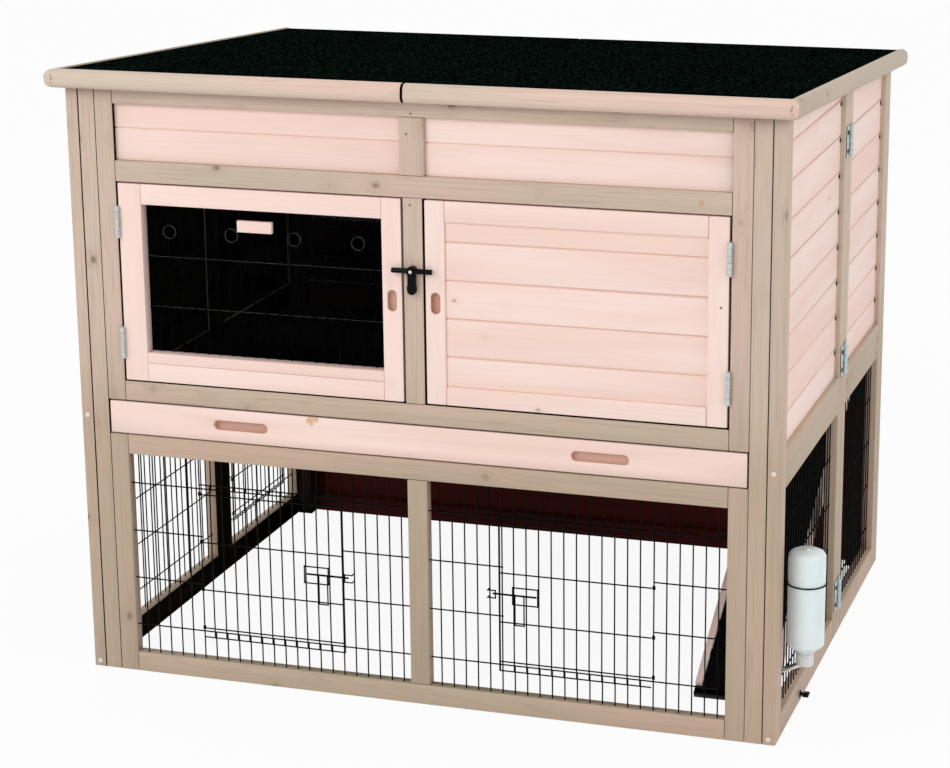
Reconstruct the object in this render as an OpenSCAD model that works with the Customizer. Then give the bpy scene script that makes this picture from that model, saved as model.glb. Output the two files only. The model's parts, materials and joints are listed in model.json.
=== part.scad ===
// Small animal hutch with a closed house above and an open wire run below.
// Origin: underside of the front bottom rail, at its middle. Front towards -Y, up is +Z.

/* [Body] */
// Width over the side walls
body_w = 1120; // [1040:10:1240]
// Depth from the front face to the back face
body_d = 866; // [840:2:920]
// Height of the wall tops at the front face
eaves_h = 957; // [940:1:990]
// Fall of the roof towards the back, in degrees
roof_fall = 3.6; // [2:0.2:5]

// Hairline between two timber pieces that meet
hair = 0.1; // [0.05:0.05:0.3]

/* [Front frame] */
// Thickness of the front frame
front_t = 20; // [18:0.5:24]
// Width of a corner post
post_w = 27; // [24:0.5:32]
// Depth of a corner post
post_d = 27; // [24:0.5:32]
// Width of the front frame's outer stiles
stile_w = 30; // [26:0.5:36]
// Width of the divider between the doors
divider_w = 31; // [27:0.5:36]
// Width of the short stile above the divider
short_stile_w = 39; // [32:0.5:44]
// Width of the run's centre stile
run_stile_w = 32; // [26:0.5:38]
// Height of the front bottom rail
bottom_rail_h = 33; // [28:0.5:38]
// Clear height of the run behind the front mesh
run_h = 332; // [320:1:345]
// Height of the rail above the run
run_rail_h = 32; // [28:0.5:36]
// Height of the slot that the tray front fills
tray_slot_h = 56; // [52:0.5:62]
// Height of the rail under the doors
sill_h = 32; // [28:0.5:36]
// Height of the rail above the doors
head_rail_h = 33; // [28:0.5:38]
// Height of the boarded panels above the doors
top_panel_h = 87; // [80:1:95]
// Height of the front frame's top rail
front_top_h = 36; // [30:1:42]

/* [Side walls] */
// Thickness of the side wall frames
wall_t = 21; // [19:0.5:24]
// Depth of the front half of a side wall
front_half_d = 478; // [460:1:490]
// Gap between the two halves of a side wall
fold_gap = 0.6; // [0.3:0.1:1.5]
// Width of the stile at the front corner
corner_stile_w = 38; // [34:0.5:42]
// Width of the other side wall stiles
side_stile_w = 31; // [28:0.5:36]
// Height of a side wall's bottom rail
side_bottom_h = 39; // [34:0.5:44]
// Height of the side wall's middle rail above the ground, to its underside
side_mid_z = 391; // [386:0.5:394]
// Height of the side wall's middle rail
side_mid_h = 60; // [54:0.5:66]
// Height of the inner batten along a side wall's top
top_batten_h = 28; // [22:0.5:34]
// Thickness of the inner batten along a side wall's top
top_batten_t = 12; // [10:0.5:16]

/* [Back wall] */
// Thickness of the back frame
back_t = 20; // [18:0.5:24]
// Width of the back frame's stiles
back_stile_w = 34; // [28:0.5:40]
// Height of the back frame's bottom rail
back_bottom_h = 33; // [28:0.5:38]
// Height of the back frame's top rail
back_top_h = 44; // [36:0.5:50]

/* [Boards] */
// Thickness of the boards
board_t = 9; // [8:0.5:11]
// Height of a wall board from joint to joint
board_p = 57.3; // [50:0.1:64]
// Height of a door board from joint to joint
door_board_p = 58.4; // [50:0.1:64]
// How far the wall boards lie behind the frame's face
board_set = 7.5; // [5:0.5:9]
// How far the door boards lie behind the door's face
door_board_set = 4; // [2:0.5:8]
// Width of the chamfer along a board's joint
board_chamfer = 2; // [1:0.25:2.5]
// Thickness of a board's tongue
tongue_t = 3; // [2:0.25:3.5]
// Height of a board's tongue
tongue_h = 4; // [3:0.5:5]
// Slack of a tongue in its groove
tongue_slack = 0.3; // [0.2:0.05:0.5]
// Depth of the lowest front board hidden behind the rail
panel_hidden = 8; // [0:0.5:16]
// Height of the lowest wall board hidden behind the rail
wall_hidden = 10; // [0:0.5:20]
// Height of the lowest door board
door_first = 46; // [36:0.5:56]

/* [Doors] */
// Thickness of the two front doors
door_t = 20; // [18:0.5:22]
// Gap beside a door, where its hinges sit
door_gap = 3; // [2.8:0.1:4]
// Gap above and below a door
door_gap_z = 2; // [1:0.1:3]
// Width of the window door's hinge stile
hinge_stile_w = 38; // [32:0.5:42]
// Width of the other door stiles
lock_stile_w = 31; // [28:0.5:36]
// Height of the doors' top rails
door_top_h = 32; // [28:0.5:36]
// Height of the doors' bottom rails
door_bottom_h = 29; // [25:0.5:34]
// Height of the bead under the window
bead_h = 17; // [14:0.5:20]
// Length of a finger slot in a door
finger_l = 32; // [26:0.5:38]
// Width of a finger slot in a door
finger_w = 14; // [12:0.5:16]
// Depth of a finger slot
finger_deep = 8; // [5:0.5:11]
// Distance of the finger slots from the doors' free edges
finger_in = 15.7; // [14:0.1:17]

/* [Window] */
// Thickness of the clear pane
pane_t = 3; // [2:0.5:4]
// Distance of the pane behind the door's face
pane_set = 9; // [6:0.5:9.5]
// Clearance round the pane
pane_gap = 0.3; // [0.2:0.1:1]
// Diameter of a vent hole
vent_d = 20; // [16:0.5:24]
// Distance between vent holes
vent_p = 103; // [92:0.5:105]
// Distance of the vent holes below the pane's top edge
vent_low = 42; // [40:0.5:48]
// Width of the pane's pull block
pull_w = 57; // [40:1:60]
// Height of the pull block
pull_h = 18; // [12:0.5:20]
// Thickness of the pull block
pull_t = 8; // [6:0.5:9]
// Distance of the pull block below the pane's top edge
pull_low = 16; // [14:0.5:20]
// Place of the pull block beside the pane's middle
pull_x = -9.5; // [-12:0.5:-6]
// Distance of the wire mesh behind the window door's face
window_mesh_set = 16; // [14.5:0.5:17]
// Heights of the mesh's cross wires as shares of the window's height
window_cross = [0.3, 0.64]; // [0.1:0.01:0.9]

/* [Turn latch] */
// Length of the turn latch's bar
latch_l = 63; // [58:0.5:68]
// Thickness of the turn latch's bar
latch_d = 8; // [7:0.25:9]
// Distance of the turn latch below the doors' opening's top
latch_drop = 109; // [95:1:120]
// Diameter of the turn latch's hub
latch_hub_d = 15; // [13:0.5:18]
// Depth of the turn latch's hub
latch_hub_t = 11; // [10:0.25:13]
// Length of the hanging handle below the latch's middle
handle_l = 36; // [32:0.5:42]
// Width of the hanging handle at its foot
handle_w = 14; // [12:0.5:18]
// Thickness of the hanging handle
handle_t = 6; // [4:0.5:8]
// Gap between the latch and the divider
latch_gap = 0.3; // [0.2:0.1:0.8]
// Diameter of the latch screw's shank
latch_screw_d = 5; // [4:0.5:6]
// Diameter of the latch screw's head
latch_head_d = 8; // [7:0.5:10]
// Height of the latch screw's head
latch_head_h = 1.6; // [1:0.1:2.5]

/* [Tray] */
// Gap round the tray's front
tray_gap = 2; // [1:0.25:3]
// Thickness of the tray's front
tray_front_t = 18; // [15:0.5:20]
// Depth of the tray from its face to its back edge
tray_d = 576; // [540:1:585]
// Height of the tray's pan
pan_h = 38; // [30:0.5:44]
// Thickness of the pan's walls and floor
pan_t = 2; // [1.5:0.25:3]
// Gap between the pan and the corner posts
pan_gap = 7; // [4:0.5:12]
// Length of a finger slot in the tray's front
tray_slot_l = 88; // [70:1:100]
// Width of a finger slot in the tray's front
tray_slot_w = 14.6; // [12:0.1:17]
// Distance of the tray's finger slots from the middle
tray_slot_x = 288; // [260:1:310]
// Running gap between the pan and its ledges
run_gap = 0.3; // [0.2:0.05:0.6]
// Width of the ledges that carry the tray
ledge_w = 44; // [40:0.5:50]
// Height of the ledges and bearers
ledge_h = 14; // [10:0.5:16]

/* [Floor and hatch] */
// Gap between the closed tray and the fixed floor
floor_gap = 4; // [2:0.5:8]
// Thickness of the fixed floor
floor_t = 10; // [8:0.5:12]
// Width of the ramp's hatch, from the right wall
hatch_w = 144; // [140:1:170]
// Depth of the floor strip in front of the hatch
hatch_front_d = 30; // [20:1:40]
// Depth of the batten behind the hatch
back_batten_d = 32; // [30:0.5:38]
// Depth of the bearer under the floor's front edge
bearer_d = 20; // [16:0.5:26]

/* [Partition] */
// Width of the rafter under the joint of the lids
rafter_w = 36; // [30:0.5:44]
// Height of the rafter
rafter_h = 28; // [24:0.5:34]
// Gap between the tray's pan and the partition
partition_low_gap = 4; // [2:0.5:8]
// Width of the partition's battens
partition_batten = 20; // [16:0.5:24]

/* [Lids] */
// Gap between the lids and the wall tops
lid_gap = 0.3; // [0.2:0.05:0.6]
// Overhang of the lids in front of the front face
front_hang = 25.7; // [20:0.5:34]
// Overhang of the lids beside the walls
side_hang = 21.4; // [19:0.2:30]
// Overhang of the lids behind the back wall
back_hang = 38; // [34:0.5:46]
// Gap between the two lids
seam = 3; // [2:0.25:5]
// Place of the joint between the lids beside the middle
seam_x = -5; // [-8:0.5:4]
// Thickness of a lid's deck
deck_t = 12; // [9:0.5:14]
// Thickness of the roofing felt
felt_t = 1.5; // [1:0.25:2.5]
// Height of the fascia strips
fascia_h = 29.4; // [27:0.2:34]
// Thickness of the fascia strips
fascia_t = 16; // [13:0.5:17]
// Rounding of the fascia's outer edges
fascia_r = 11; // [5:0.5:12]
// Height of the fascia above the felt
fascia_lip = 2; // [1:0.25:4]

/* [Wire] */
// Diameter of the mesh wire
wire_d = 2.2; // [1.8:0.1:2.6]
// Diameter of a wire door's free edge
edge_wire_d = 3; // [2.6:0.1:3.6]
// Diameter of a slide bolt
bolt_d = 3; // [2.5:0.1:3.6]
// Distance between upright wires
mesh_p = 19.8; // [19:0.1:21]
// Height of the first cross wire above the ground
cross_z = 78.5; // [72:0.5:84]
// Distance between cross wires
cross_p = 79.2; // [76:0.1:80]
// Sideways shift of the front mesh in its bays
mesh_shift = 3; // [-2:0.5:4]
// Distance of the front mesh behind the front face
mesh_set = 5; // [4:0.5:10]
// Distance of the side mesh behind the outer face
side_mesh_set = 9; // [6:0.5:12]
// Lap of two welded wires
weld = 0.3; // [0.2:0.05:0.5]

/* [Wire doors] */
// Number of mesh spaces beside a front wire door, up to the bay's last wire
front_margin = 5; // [3:1:6]
// Number of mesh spaces beside the side wire door, up to the bay's last wire
side_margin = 1; // [1:1:2]
// Radial clearance of a hinge eye on its wire
eye_gap = 0.05; // [0.03:0.01:0.09]
// Wall of a hinge eye
eye_wall = 1.3; // [1.2:0.1:1.8]
// Length of a hinge eye
eye_l = 5; // [4:0.5:6]
// Reach of a wire door below and above its opening
door_reach = 8; // [6:0.5:12]
// Height of the slide bolts above the ground
bolt_z = 196.5; // [190:0.5:202]
// Height of a bolt's guide and keeper loop
guide_h = 27; // [22:0.5:30]
// Height of a keeper
keeper_h = 12; // [11:0.5:16]
// Length of the hanging handle of a bolt
bolt_handle_l = 48; // [40:0.5:54]
// Travel of a slide bolt
bolt_travel = 20; // [16:0.5:20]
// Clearance between a bolt and the wires round it
bolt_gap = 0.4; // [0.3:0.05:0.6]
// Length of a bolt behind its keeper
bolt_past = 4; // [3:0.5:6]
// Distance of a bolt's other end from its guide's upright
bolt_tail = 3; // [2:0.5:5]

/* [Hinges] */
// Radius of a hinge knuckle
knuckle_r = 3.5; // [3.2:0.1:4]
// Radius of a hinge pin
pin_r = 1.5; // [1.3:0.1:1.8]
// Radial clearance of a knuckle on its pin
pin_gap = 0.05; // [0.03:0.01:0.09]
// Length of a hinge
hinge_l = 50; // [44:1:56]
// Thickness of a hinge leaf
leaf_t = 1.2; // [1:0.1:1.3]
// Width of one leaf of a wall hinge
leaf_w = 24; // [20:0.5:26]
// Width of one leaf of a door hinge
door_leaf_w = 19; // [14:0.5:20]
// Distance of the door hinges' middles from the ends of their opening
door_hinge_in = 62.5; // [50:0.5:75]
// Height of the lowest side wall hinges above the ground
fold_low = 73.5; // [60:0.5:90]
// Height of the middle side wall hinges above the middle rail's top
fold_mid = 23.5; // [10:0.5:40]
// Distance of the highest side wall hinges below the wall's top
fold_drop = 96.5; // [60:0.5:120]
// Distances of the roof hinges from the middle
roof_hinge_x = [140, 420]; // [80:5:480]
// Diameter of a screw head
screw_d = 7; // [5:0.25:8]
// Height of a screw head
screw_h = 1.4; // [1:0.1:2]
// Distance of a wall hinge's screws from its leaf's edge
screw_in = 8; // [6:0.5:10]
// Distance of a wall hinge's screws above and below its middle
screw_dz = 15; // [10:0.5:18]

/* [Ramp] */
// Length of the ramp from its hinge to its foot
ramp_l = 769; // [760:1:795]
// Width of the ramp over its side rails
ramp_w = 126; // [110:1:130]
// Distance of the ramp from the right wall
ramp_side = 14; // [10:0.5:18]
// Thickness of the ramp's board
ramp_t = 9; // [8:0.5:12]
// Width of a ramp side rail
ramp_rail_w = 11; // [9:0.5:14]
// Height of the side rails above the board
ramp_rail_h = 8; // [6:0.5:9]
// Thickness of the tread felt
tread_t = 1.5; // [1:0.25:2.5]
// Distance between cleats
cleat_p = 62; // [50:1:80]
// Height of a cleat
cleat_h = 4; // [3:0.5:6]
// Width of a cleat
cleat_w = 10; // [8:0.5:14]
// Depth of the black foot bar
foot_d = 16; // [12:0.5:22]
// Length of the hinge strap on the ramp's board
strap_l = 20; // [16:0.5:30]
// Height of the foot above the ground
foot_clear = 0.5; // [0.3:0.1:2]

/* [Bottle] */
// Diameter of the bottle
bottle_d = 56; // [48:1:64]
// Length of the bottle's straight part
bottle_l = 142; // [120:1:160]
// Height of the cap's lower edge above the ground
cap_z = 110; // [104:1:116]
// Height of the cap
cap_h = 18; // [14:0.5:22]
// Diameter of the cap
cap_d = 26; // [22:0.5:32]
// Height of the bottle's shoulder
shoulder_h = 13; // [8:0.5:18]
// Height of the bottle's dome
dome_h = 8; // [5:0.5:12]
// Gap between the bottle and the wall
bottle_gap = 1; // [0.5:0.25:2]
// Diameter of the spout
spout_d = 8; // [7:0.5:9]
// Length of the spout
spout_l = 54; // [48:1:60]
// Slope of the spout, in degrees
spout_fall = 24; // [18:1:28]
// Clearance of the wire ring round the bottle and over the mesh
ring_gap = 0.3; // [0.2:0.05:0.5]
// Distance of each hook from the middle of its mesh space
hook_dy = 7; // [6:0.25:7.2]
// Length of the hooks behind the mesh
hook_past = 4; // [3:0.5:6]

/* [Small fixings] */
// Diameter of a plastic screw cap
cap_screw_d = 8; // [6:0.5:10]
// Thickness of a plastic screw cap
cap_screw_t = 1.2; // [0.8:0.1:2]
// Height of the upper screw caps
cap_high_z = 424; // [415:1:435]
// Height of the lower screw caps
cap_low_z = 10; // [8:0.5:14]
// Distance of the wing screw behind the front face
wing_y = 183; // [160:1:200]
// Height of the wing screw
wing_z = 12; // [10:0.5:16]
// Diameter of the wing screw's collar
wing_d = 12; // [8:0.5:14]
// Thickness of the wing screw's collar
wing_collar_t = 1.5; // [1:0.25:2.5]
// Length of the wing screw's neck
wing_neck_l = 9; // [7:0.5:12]
// Span of the wing screw's wings
wing_span = 16; // [12:0.5:20]
// Thickness of the wing screw's wings
wing_t = 4; // [3:0.25:5]

/* [Hidden] */
half_w = body_w / 2;
front_y = -front_t / 2;
back_y = front_y + body_d;
back_in_y = back_y - back_t;
wall_x = half_w - wall_t;
post_x = wall_x - post_w;
bay_x = post_x - stile_w;
fall_k = tan(roof_fall);

run_top_z = bottom_rail_h + run_h;
tray_z = run_top_z + run_rail_h;
sill_z = tray_z + tray_slot_h;
door_z = sill_z + sill_h;
top_rail_z = eaves_h - front_top_h;
panel_z = top_rail_z - top_panel_h;
head_z = panel_z - head_rail_h;
door_mid_z = (door_z + head_z) / 2;

pan_z = tray_z + tray_gap;
ledge_top = pan_z - run_gap;
ledge_z = ledge_top - ledge_h;
pan_x = post_x - pan_gap;
tray_back_y = front_y + tray_d;
floor_y = tray_back_y + floor_gap;
hatch_x = wall_x - hatch_w;
hatch_y = floor_y + hatch_front_d;
rear_post_y = back_in_y - post_d;
batten_y = back_in_y - back_batten_d;

split_y = front_y + front_half_d;
front_bay = [front_y + corner_stile_w, split_y - side_stile_w];
rear_bay = [split_y + fold_gap + side_stile_w, back_in_y - side_stile_w];
side_open_z = [side_bottom_h, side_mid_z];
side_board_z = side_mid_z + side_mid_h;

leaf_clear = knuckle_r + 0.5;
hinge_seat = knuckle_r + lid_gap;
knuckles = 5;
eps = 0.01;

// Height of the wall tops at a distance from the front to the back
function roof_z(y) = eaves_h - (y - front_y) * fall_k;

TAUPE = "#c3af9b";
PINK = "#f3d7cd";
MAHOGANY = "#5a2520";
BLACK = "#1c1c1e";
ZINC = "#b9c0c4";
FELT = "#13261f";
CLEAR = "#dfe9ea";

// Helpers

// Block from its low corner to its high corner
module block(low, high) {
    translate(low) cube(high - low);
}

// All that lies under the lids, less a drop
module under_roof(drop = 0) {
    reach = 100;
    y0 = front_y - reach;
    y1 = back_y + reach;
    translate([-body_w, 0, 0]) rotate([90, 0, 90]) linear_extrude(2 * body_w)
        polygon([[y0, -reach], [y1, -reach], [y1, roof_z(y1) - drop], [y0, roof_z(y0) - drop]]);
}

// Rail along X between two stiles, a hairline short at both ends
module rail(x0, x1, y0, y1, z0, z1) {
    block([x0 + hair, y0, z0], [x1 - hair, y1, z1]);
}

// Short stile at the middle between two rails, a hairline short at both ends
module muntin(w, y0, y1, z0, z1) {
    block([-w / 2, y0, z0 + hair], [w / 2, y1, z1 - hair]);
}

// Upright bar whose top follows the roof
module roofed(low, high, drop = 0) {
    intersection() {
        block(low, [high[0], high[1], roof_z(low[1]) + 10]);
        under_roof(drop);
    }
}

// Blind slot with round ends, cut into a face that looks towards -Y
module slot_cut(l, w, deep, upright) {
    turn = upright ? 90 : 0;
    run = (l - w) / 2;
    rotate([0, turn, 0]) {
        translate([-run, -1, -w / 2]) cube([2 * run, deep + 1, w]);
        for (s = [-1, 1])
            translate([s * run, -1, 0]) rotate([-90, 0, 0]) cylinder(d = w, h = deep + 1, $fn = 32);
    }
}

// Section of a board: its outer face at 0, with a groove below and a tongue above
function board_outline(h, lo, hi) = let (
    t = board_t,
    t0 = (t - tongue_t) / 2,
    t1 = (t + tongue_t) / 2,
    g0 = t0 - tongue_slack,
    g1 = t1 + tongue_slack,
    gd = tongue_h + tongue_slack,
    c = board_chamfer
) concat(
    lo ? [[c, 0], [g0, 0], [g0, gd], [g1, gd], [g1, 0], [t, 0]] : [[0, 0], [t, 0]],
    hi ? [[t, h], [t1, h], [t1, h + tongue_h], [t0, h + tongue_h], [t0, h], [c, h], [0, h - c]]
       : [[t, h], [0, h]],
    lo ? [[0, c]] : []
);

// Boards side by side from v0 to v1, with joints at joint + k * pitch, each of length l
module board_stack(l, v0, v1, joint, pitch) {
    first = floor((v0 - joint) / pitch + eps);
    last = ceil((v1 - joint) / pitch - eps) - 1;
    for (i = [first:last]) {
        low = max(v0, joint + i * pitch);
        high = min(v1, joint + (i + 1) * pitch);
        translate([0, low, 0]) linear_extrude(l)
            polygon(board_outline(high - low - hair, i > first, i < last));
    }
}

// Boards lying along X, with their outer faces towards -Y
module level_boards(l, z0, z1, joint, pitch) {
    rotate([90, 0, 90]) board_stack(l, z0, z1, joint, pitch);
}

// Middle places of the upright wires in a bay
function wires(u0, u1, shift = 0) = let (
    n = floor((u1 - u0) / mesh_p),
    mid = (u0 + u1) / 2 + shift
) [for (i = [0:n - 1]) mid + (i - (n - 1) / 2) * mesh_p];

// Heights of the cross wires under a given height
function crosses(z1) = [for (z = [cross_z:cross_p:z1 - wire_d]) z];

cross_y = wire_d - weld;

// Upright wire
module upright(u, z0, z1, d = wire_d, round = false) {
    translate([u, 0, z0]) rotate([0, 0, 22.5]) cylinder(d = d, h = z1 - z0, $fn = round ? 32 : 8);
}

// Cross wire, behind the uprights
module crosswire(z, u0, u1, y = cross_y, d = wire_d) {
    translate([u0, y, z]) rotate([0, 90, 0]) rotate([0, 0, 22.5])
        cylinder(d = d, h = u1 - u0, $fn = 8);
}

// Wire that stands out from the mesh, towards -Y
module outwire(u, z, out0, out1, d = wire_d) {
    translate([u, -out0, z]) rotate([90, 0, 0]) rotate([0, 0, 22.5])
        cylinder(d = d, h = out1 - out0, $fn = 8);
}

// Layers of a wire door, as distances in front of the fixed uprights
bar_out = wire_d + bolt_gap;
pale_out = bar_out + wire_d - weld;
rod_out = pale_out + wire_d / 2 + bolt_gap + bolt_d / 2;
loop_out = rod_out + bolt_d / 2 + bolt_gap + wire_d / 2;
keeper_out = edge_wire_d + edge_wire_d / 2 + wire_d / 2 + 2;
door_low_z = cross_z - door_reach;
door_high_z = cross_z + 3 * cross_p + door_reach;
door_bars = [
    door_low_z, cross_z + door_reach - 1, cross_z + cross_p - door_reach,
    cross_z + 2 * cross_p - door_reach, cross_z + 3 * cross_p - door_reach, door_high_z,
];
eye_bars = [1, 2, 3, 4];

// Number of mesh spaces that a wire door covers in a bay
function door_spaces(us, margin) = len(us) - 1 - 2 * margin;

// Place of a wire door's free edge, and of its guide's uprights, from its hinge
function edge_u(spaces) = spaces * mesh_p + edge_wire_d;
function guide_u(spaces) = [(spaces - 3) * mesh_p, (spaces - 1) * mesh_p];

// Keeper for a slide bolt, on the fixed upright at u, reaching towards the door
module keeper(u, side) {
    tip = u - side * (mesh_p - keeper_out);
    for (s = [-1, 1]) {
        z = bolt_z + s * keeper_h / 2;
        outwire(u, z, 0, loop_out + wire_d / 2);
        translate([0, -loop_out - cross_y, 0])
            crosswire(z, min(u, tip) - wire_d / 2, max(u, tip) + wire_d / 2);
    }
    translate([0, -loop_out, 0])
        upright(tip, bolt_z - keeper_h / 2, bolt_z + keeper_h / 2);
}

// One flat grille of a mesh panel: uprights and cross wires welded together
module grille(us, z0, z1, u0, u1, zs, round_at = []) {
    for (u = us)
        upright(u, z0, z1, wire_d, len(search(u, round_at)) > 0);
    for (z = zs)
        crosswire(z, u0, u1);
}

// Whole mesh panel without a door
module mesh_panel(u0, u1, z0, z1, shift = 0) {
    grille(wires(u0, u1, shift), z0, z1, u0, u1, crosses(z1));
}

// Mesh panel with a wire door's opening, margin spaces in from the bay's outer wires.
// side is 1 where the door's hinge is at the low end, -1 where it is at the high end.
module mesh_panel_open(u0, u1, z0, z1, margin, side, shift = 0) {
    us = wires(u0, u1, shift);
    n = len(us);
    i = margin;
    j = n - 1 - margin;
    a = us[i];
    b = us[j];
    low_cut = a + wire_d / 2;
    high_cut = b - wire_d / 2;
    border = [cross_z, cross_z + 3 * cross_p];
    inner = [cross_z + cross_p, cross_z + 2 * cross_p];
    union() {
        for (k = [0:i])
            upright(us[k], z0, z1, wire_d, k == i);
        for (z = concat(border, inner))
            crosswire(z, u0, low_cut);
        if (side < 0)
            keeper(us[i - 1], -1);
    }
    union() {
        for (k = [j:n - 1])
            upright(us[k], z0, z1, wire_d, k == j);
        for (z = concat(border, inner))
            crosswire(z, high_cut, u1);
        if (side > 0)
            keeper(us[j + 1], 1);
    }
    union() {
        for (k = [i + 1:j - 1])
            upright(us[k], z0, border[0]);
        crosswire(border[0], low_cut + hair, high_cut - hair);
    }
    union() {
        for (k = [i + 1:j - 1])
            upright(us[k], border[1], z1);
        crosswire(border[1], low_cut + hair, high_cut - hair);
    }
}

// Wire door, hinged on the upright at the origin and reaching along +X
module wire_door(spaces) {
    edge = edge_u(spaces);
    eye_r = wire_d / 2 + eye_gap + eye_wall;
    for (z = door_bars)
        crosswire(z, eye_r + hair, edge, -bar_out);
    for (k = [1:spaces - 1])
        translate([0, -pale_out, 0]) upright(k * mesh_p, door_low_z, door_high_z);
    translate([0, -pale_out, 0])
        upright(edge, door_low_z, door_high_z, edge_wire_d);
    for (k = eye_bars)
        translate([0, 0, door_bars[k] - eye_l / 2]) difference() {
            cylinder(r = eye_r, h = eye_l, $fn = 32);
            translate([0, 0, -1]) cylinder(r = wire_d / 2 + eye_gap, h = eye_l + 2, $fn = 32);
        }
    guide(guide_u(spaces));
}

// Guide loop that holds the slide bolt on its door: two brackets and the wires between them
module guide(us) {
    ends = [for (s = [-1, 1]) bolt_z + s * guide_h / 2];
    for (u = us) {
        translate([0, -loop_out, 0]) upright(u, ends[0], ends[1]);
        for (z = ends)
            outwire(u, z, pale_out + wire_d / 2 + hair, loop_out + wire_d / 2);
    }
    for (z = ends)
        crosswire(z, us[0] + wire_d / 2 + hair, us[1] - wire_d / 2 - hair, -loop_out);
}

// Slide bolt with its hanging handle, in the wire door's frame
module slide_bolt(spaces) {
    us = guide_u(spaces);
    leg0 = us[0] + wire_d + bolt_gap + bolt_travel;
    leg1 = us[1] - wire_d - bolt_gap;
    tip = spaces * mesh_p + keeper_out + wire_d / 2 + bolt_past;
    crosswire(bolt_z, us[0] + bolt_tail, tip, -rod_out, bolt_d);
    for (u = [leg0, leg1])
        translate([0, -rod_out, 0]) upright(u, bolt_z - bolt_handle_l, bolt_z);
    crosswire(bolt_z - bolt_handle_l, leg0 - wire_d / 2, leg1 + wire_d / 2, -rod_out);
}

// Hinge leaf: axis along X through the origin, seat plane at +Z, plate towards +Y.
// set picks the knuckles (0 for the odd ones with the pin, 1 for the even ones).
module hinge_leaf(w, set, seat, l = hinge_l) {
    k = l / knuckles;
    ends = l / 2;
    slack = 0.2;
    difference() {
        union() {
            translate([-ends, leaf_clear, seat - leaf_t]) cube([l, w - leaf_clear, leaf_t]);
            for (i = [set:2:knuckles - 1]) {
                x0 = -ends + i * k + (i == 0 ? 0 : slack);
                x1 = -ends + (i + 1) * k - (i == knuckles - 1 ? 0 : slack);
                translate([x0, 0, 0]) rotate([0, 90, 0])
                    cylinder(r = knuckle_r, h = x1 - x0, $fn = 48);
                translate([x0, 0, seat - leaf_t]) cube([x1 - x0, leaf_clear + 1, leaf_t]);
            }
        }
        if (set == 1)
            translate([-l, 0, 0]) rotate([0, 90, 0])
                cylinder(r = pin_r + pin_gap, h = 2 * l, $fn = 48);
    }
    if (set == 0)
        translate([-ends, 0, 0]) rotate([0, 90, 0]) cylinder(r = pin_r, h = l, $fn = 48);
}

// Low round screw head on a face that looks towards -Y
module screw_head(d = screw_d, h = screw_h) {
    rotate([90, 0, 0]) cylinder(d = d, h = h, $fn = 32);
}

// Front

module corner_posts() {
    color(TAUPE) for (s = [-1, 1]) {
        x0 = s > 0 ? post_x : -wall_x;
        roofed([x0, front_y, 0], [x0 + post_w, front_y + post_d]);
        roofed([x0, rear_post_y, 0], [x0 + post_w, back_in_y]);
    }
}

module front_lower_frame() {
    f = front_y;
    b = front_y + front_t;
    color(TAUPE) {
        rail(-bay_x, bay_x, f, b, 0, bottom_rail_h);
        rail(-bay_x, bay_x, f, b, run_top_z, tray_z);
        for (s = [-1, 1])
            block([s > 0 ? bay_x : -post_x, f, 0], [s > 0 ? post_x : -bay_x, b, tray_z]);
        muntin(run_stile_w, f, b, bottom_rail_h, run_top_z);
    }
}

module front_upper_frame() {
    f = front_y;
    b = front_y + front_t;
    color(TAUPE) {
        for (s = [-1, 1])
            roofed([s > 0 ? bay_x : -post_x, f, sill_z], [s > 0 ? post_x : -bay_x, b]);
        rail(-bay_x, bay_x, f, b, sill_z, door_z);
        rail(-bay_x, bay_x, f, b, head_z, panel_z);
        roofed([-bay_x + hair, f, top_rail_z], [bay_x - hair, b]);
        muntin(divider_w, f, b, door_z, head_z);
        muntin(short_stile_w, f, b, panel_z, top_rail_z);
    }
}

module front_top_boards() {
    color(PINK) for (s = [-1, 1])
        translate([s > 0 ? short_stile_w / 2 : -bay_x, front_y + board_set, 0])
            level_boards(bay_x - short_stile_w / 2, panel_z, top_rail_z, panel_z - panel_hidden,
                board_p);
}

module front_mesh() {
    color(BLACK) translate([0, front_y + mesh_set, 0]) {
        mesh_panel_open(-bay_x, -run_stile_w / 2, bottom_rail_h, run_top_z,
            front_margin, 1, mesh_shift);
        mesh_panel_open(run_stile_w / 2, bay_x, bottom_rail_h, run_top_z,
            front_margin, -1, mesh_shift);
    }
}

// Side walls, made for the right side and mirrored for the left

// Frame of one half, between y0 and y1, round the bay of clear depth
module half_frame(y0, y1, bay) {
    x0 = wall_x;
    x1 = half_w;
    color(TAUPE) {
        roofed([x0, y0, 0], [x1, bay[0]]);
        roofed([x0, bay[1], 0], [x1, y1]);
        y_low = bay[0] + hair;
        y_high = bay[1] - hair;
        block([x0, y_low, 0], [x1, y_high, side_bottom_h]);
        block([x0, y_low, side_mid_z], [x1, y_high, side_board_z]);
        batten_x = half_w - board_set - board_t;
        intersection() {
            block([batten_x - top_batten_t, y_low, 0], [batten_x, y_high, roof_z(y_low)]);
            difference() {
                under_roof();
                under_roof(top_batten_h);
            }
        }
    }
}

module front_half_frame() {
    half_frame(front_y, split_y, front_bay);
}

module rear_half_frame() {
    half_frame(split_y + fold_gap, back_in_y, rear_bay);
}

// Boards of one bay, cut off under the roof
module half_boards(bay) {
    l = bay[1] - bay[0];
    high = roof_z(bay[0]);
    color(PINK) intersection() {
        translate([half_w - board_set, bay[0], 0]) rotate([0, 0, 90])
            level_boards(l, side_board_z, high, side_board_z - wall_hidden, board_p);
        under_roof();
    }
}

module wall_boards() {
    half_boards(front_bay);
    half_boards(rear_bay);
}

// Side mesh, seen from outside with +X of the panel along +Y
module on_side() {
    translate([half_w - side_mesh_set, 0, 0]) rotate([0, 0, 90]) children();
}

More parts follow.
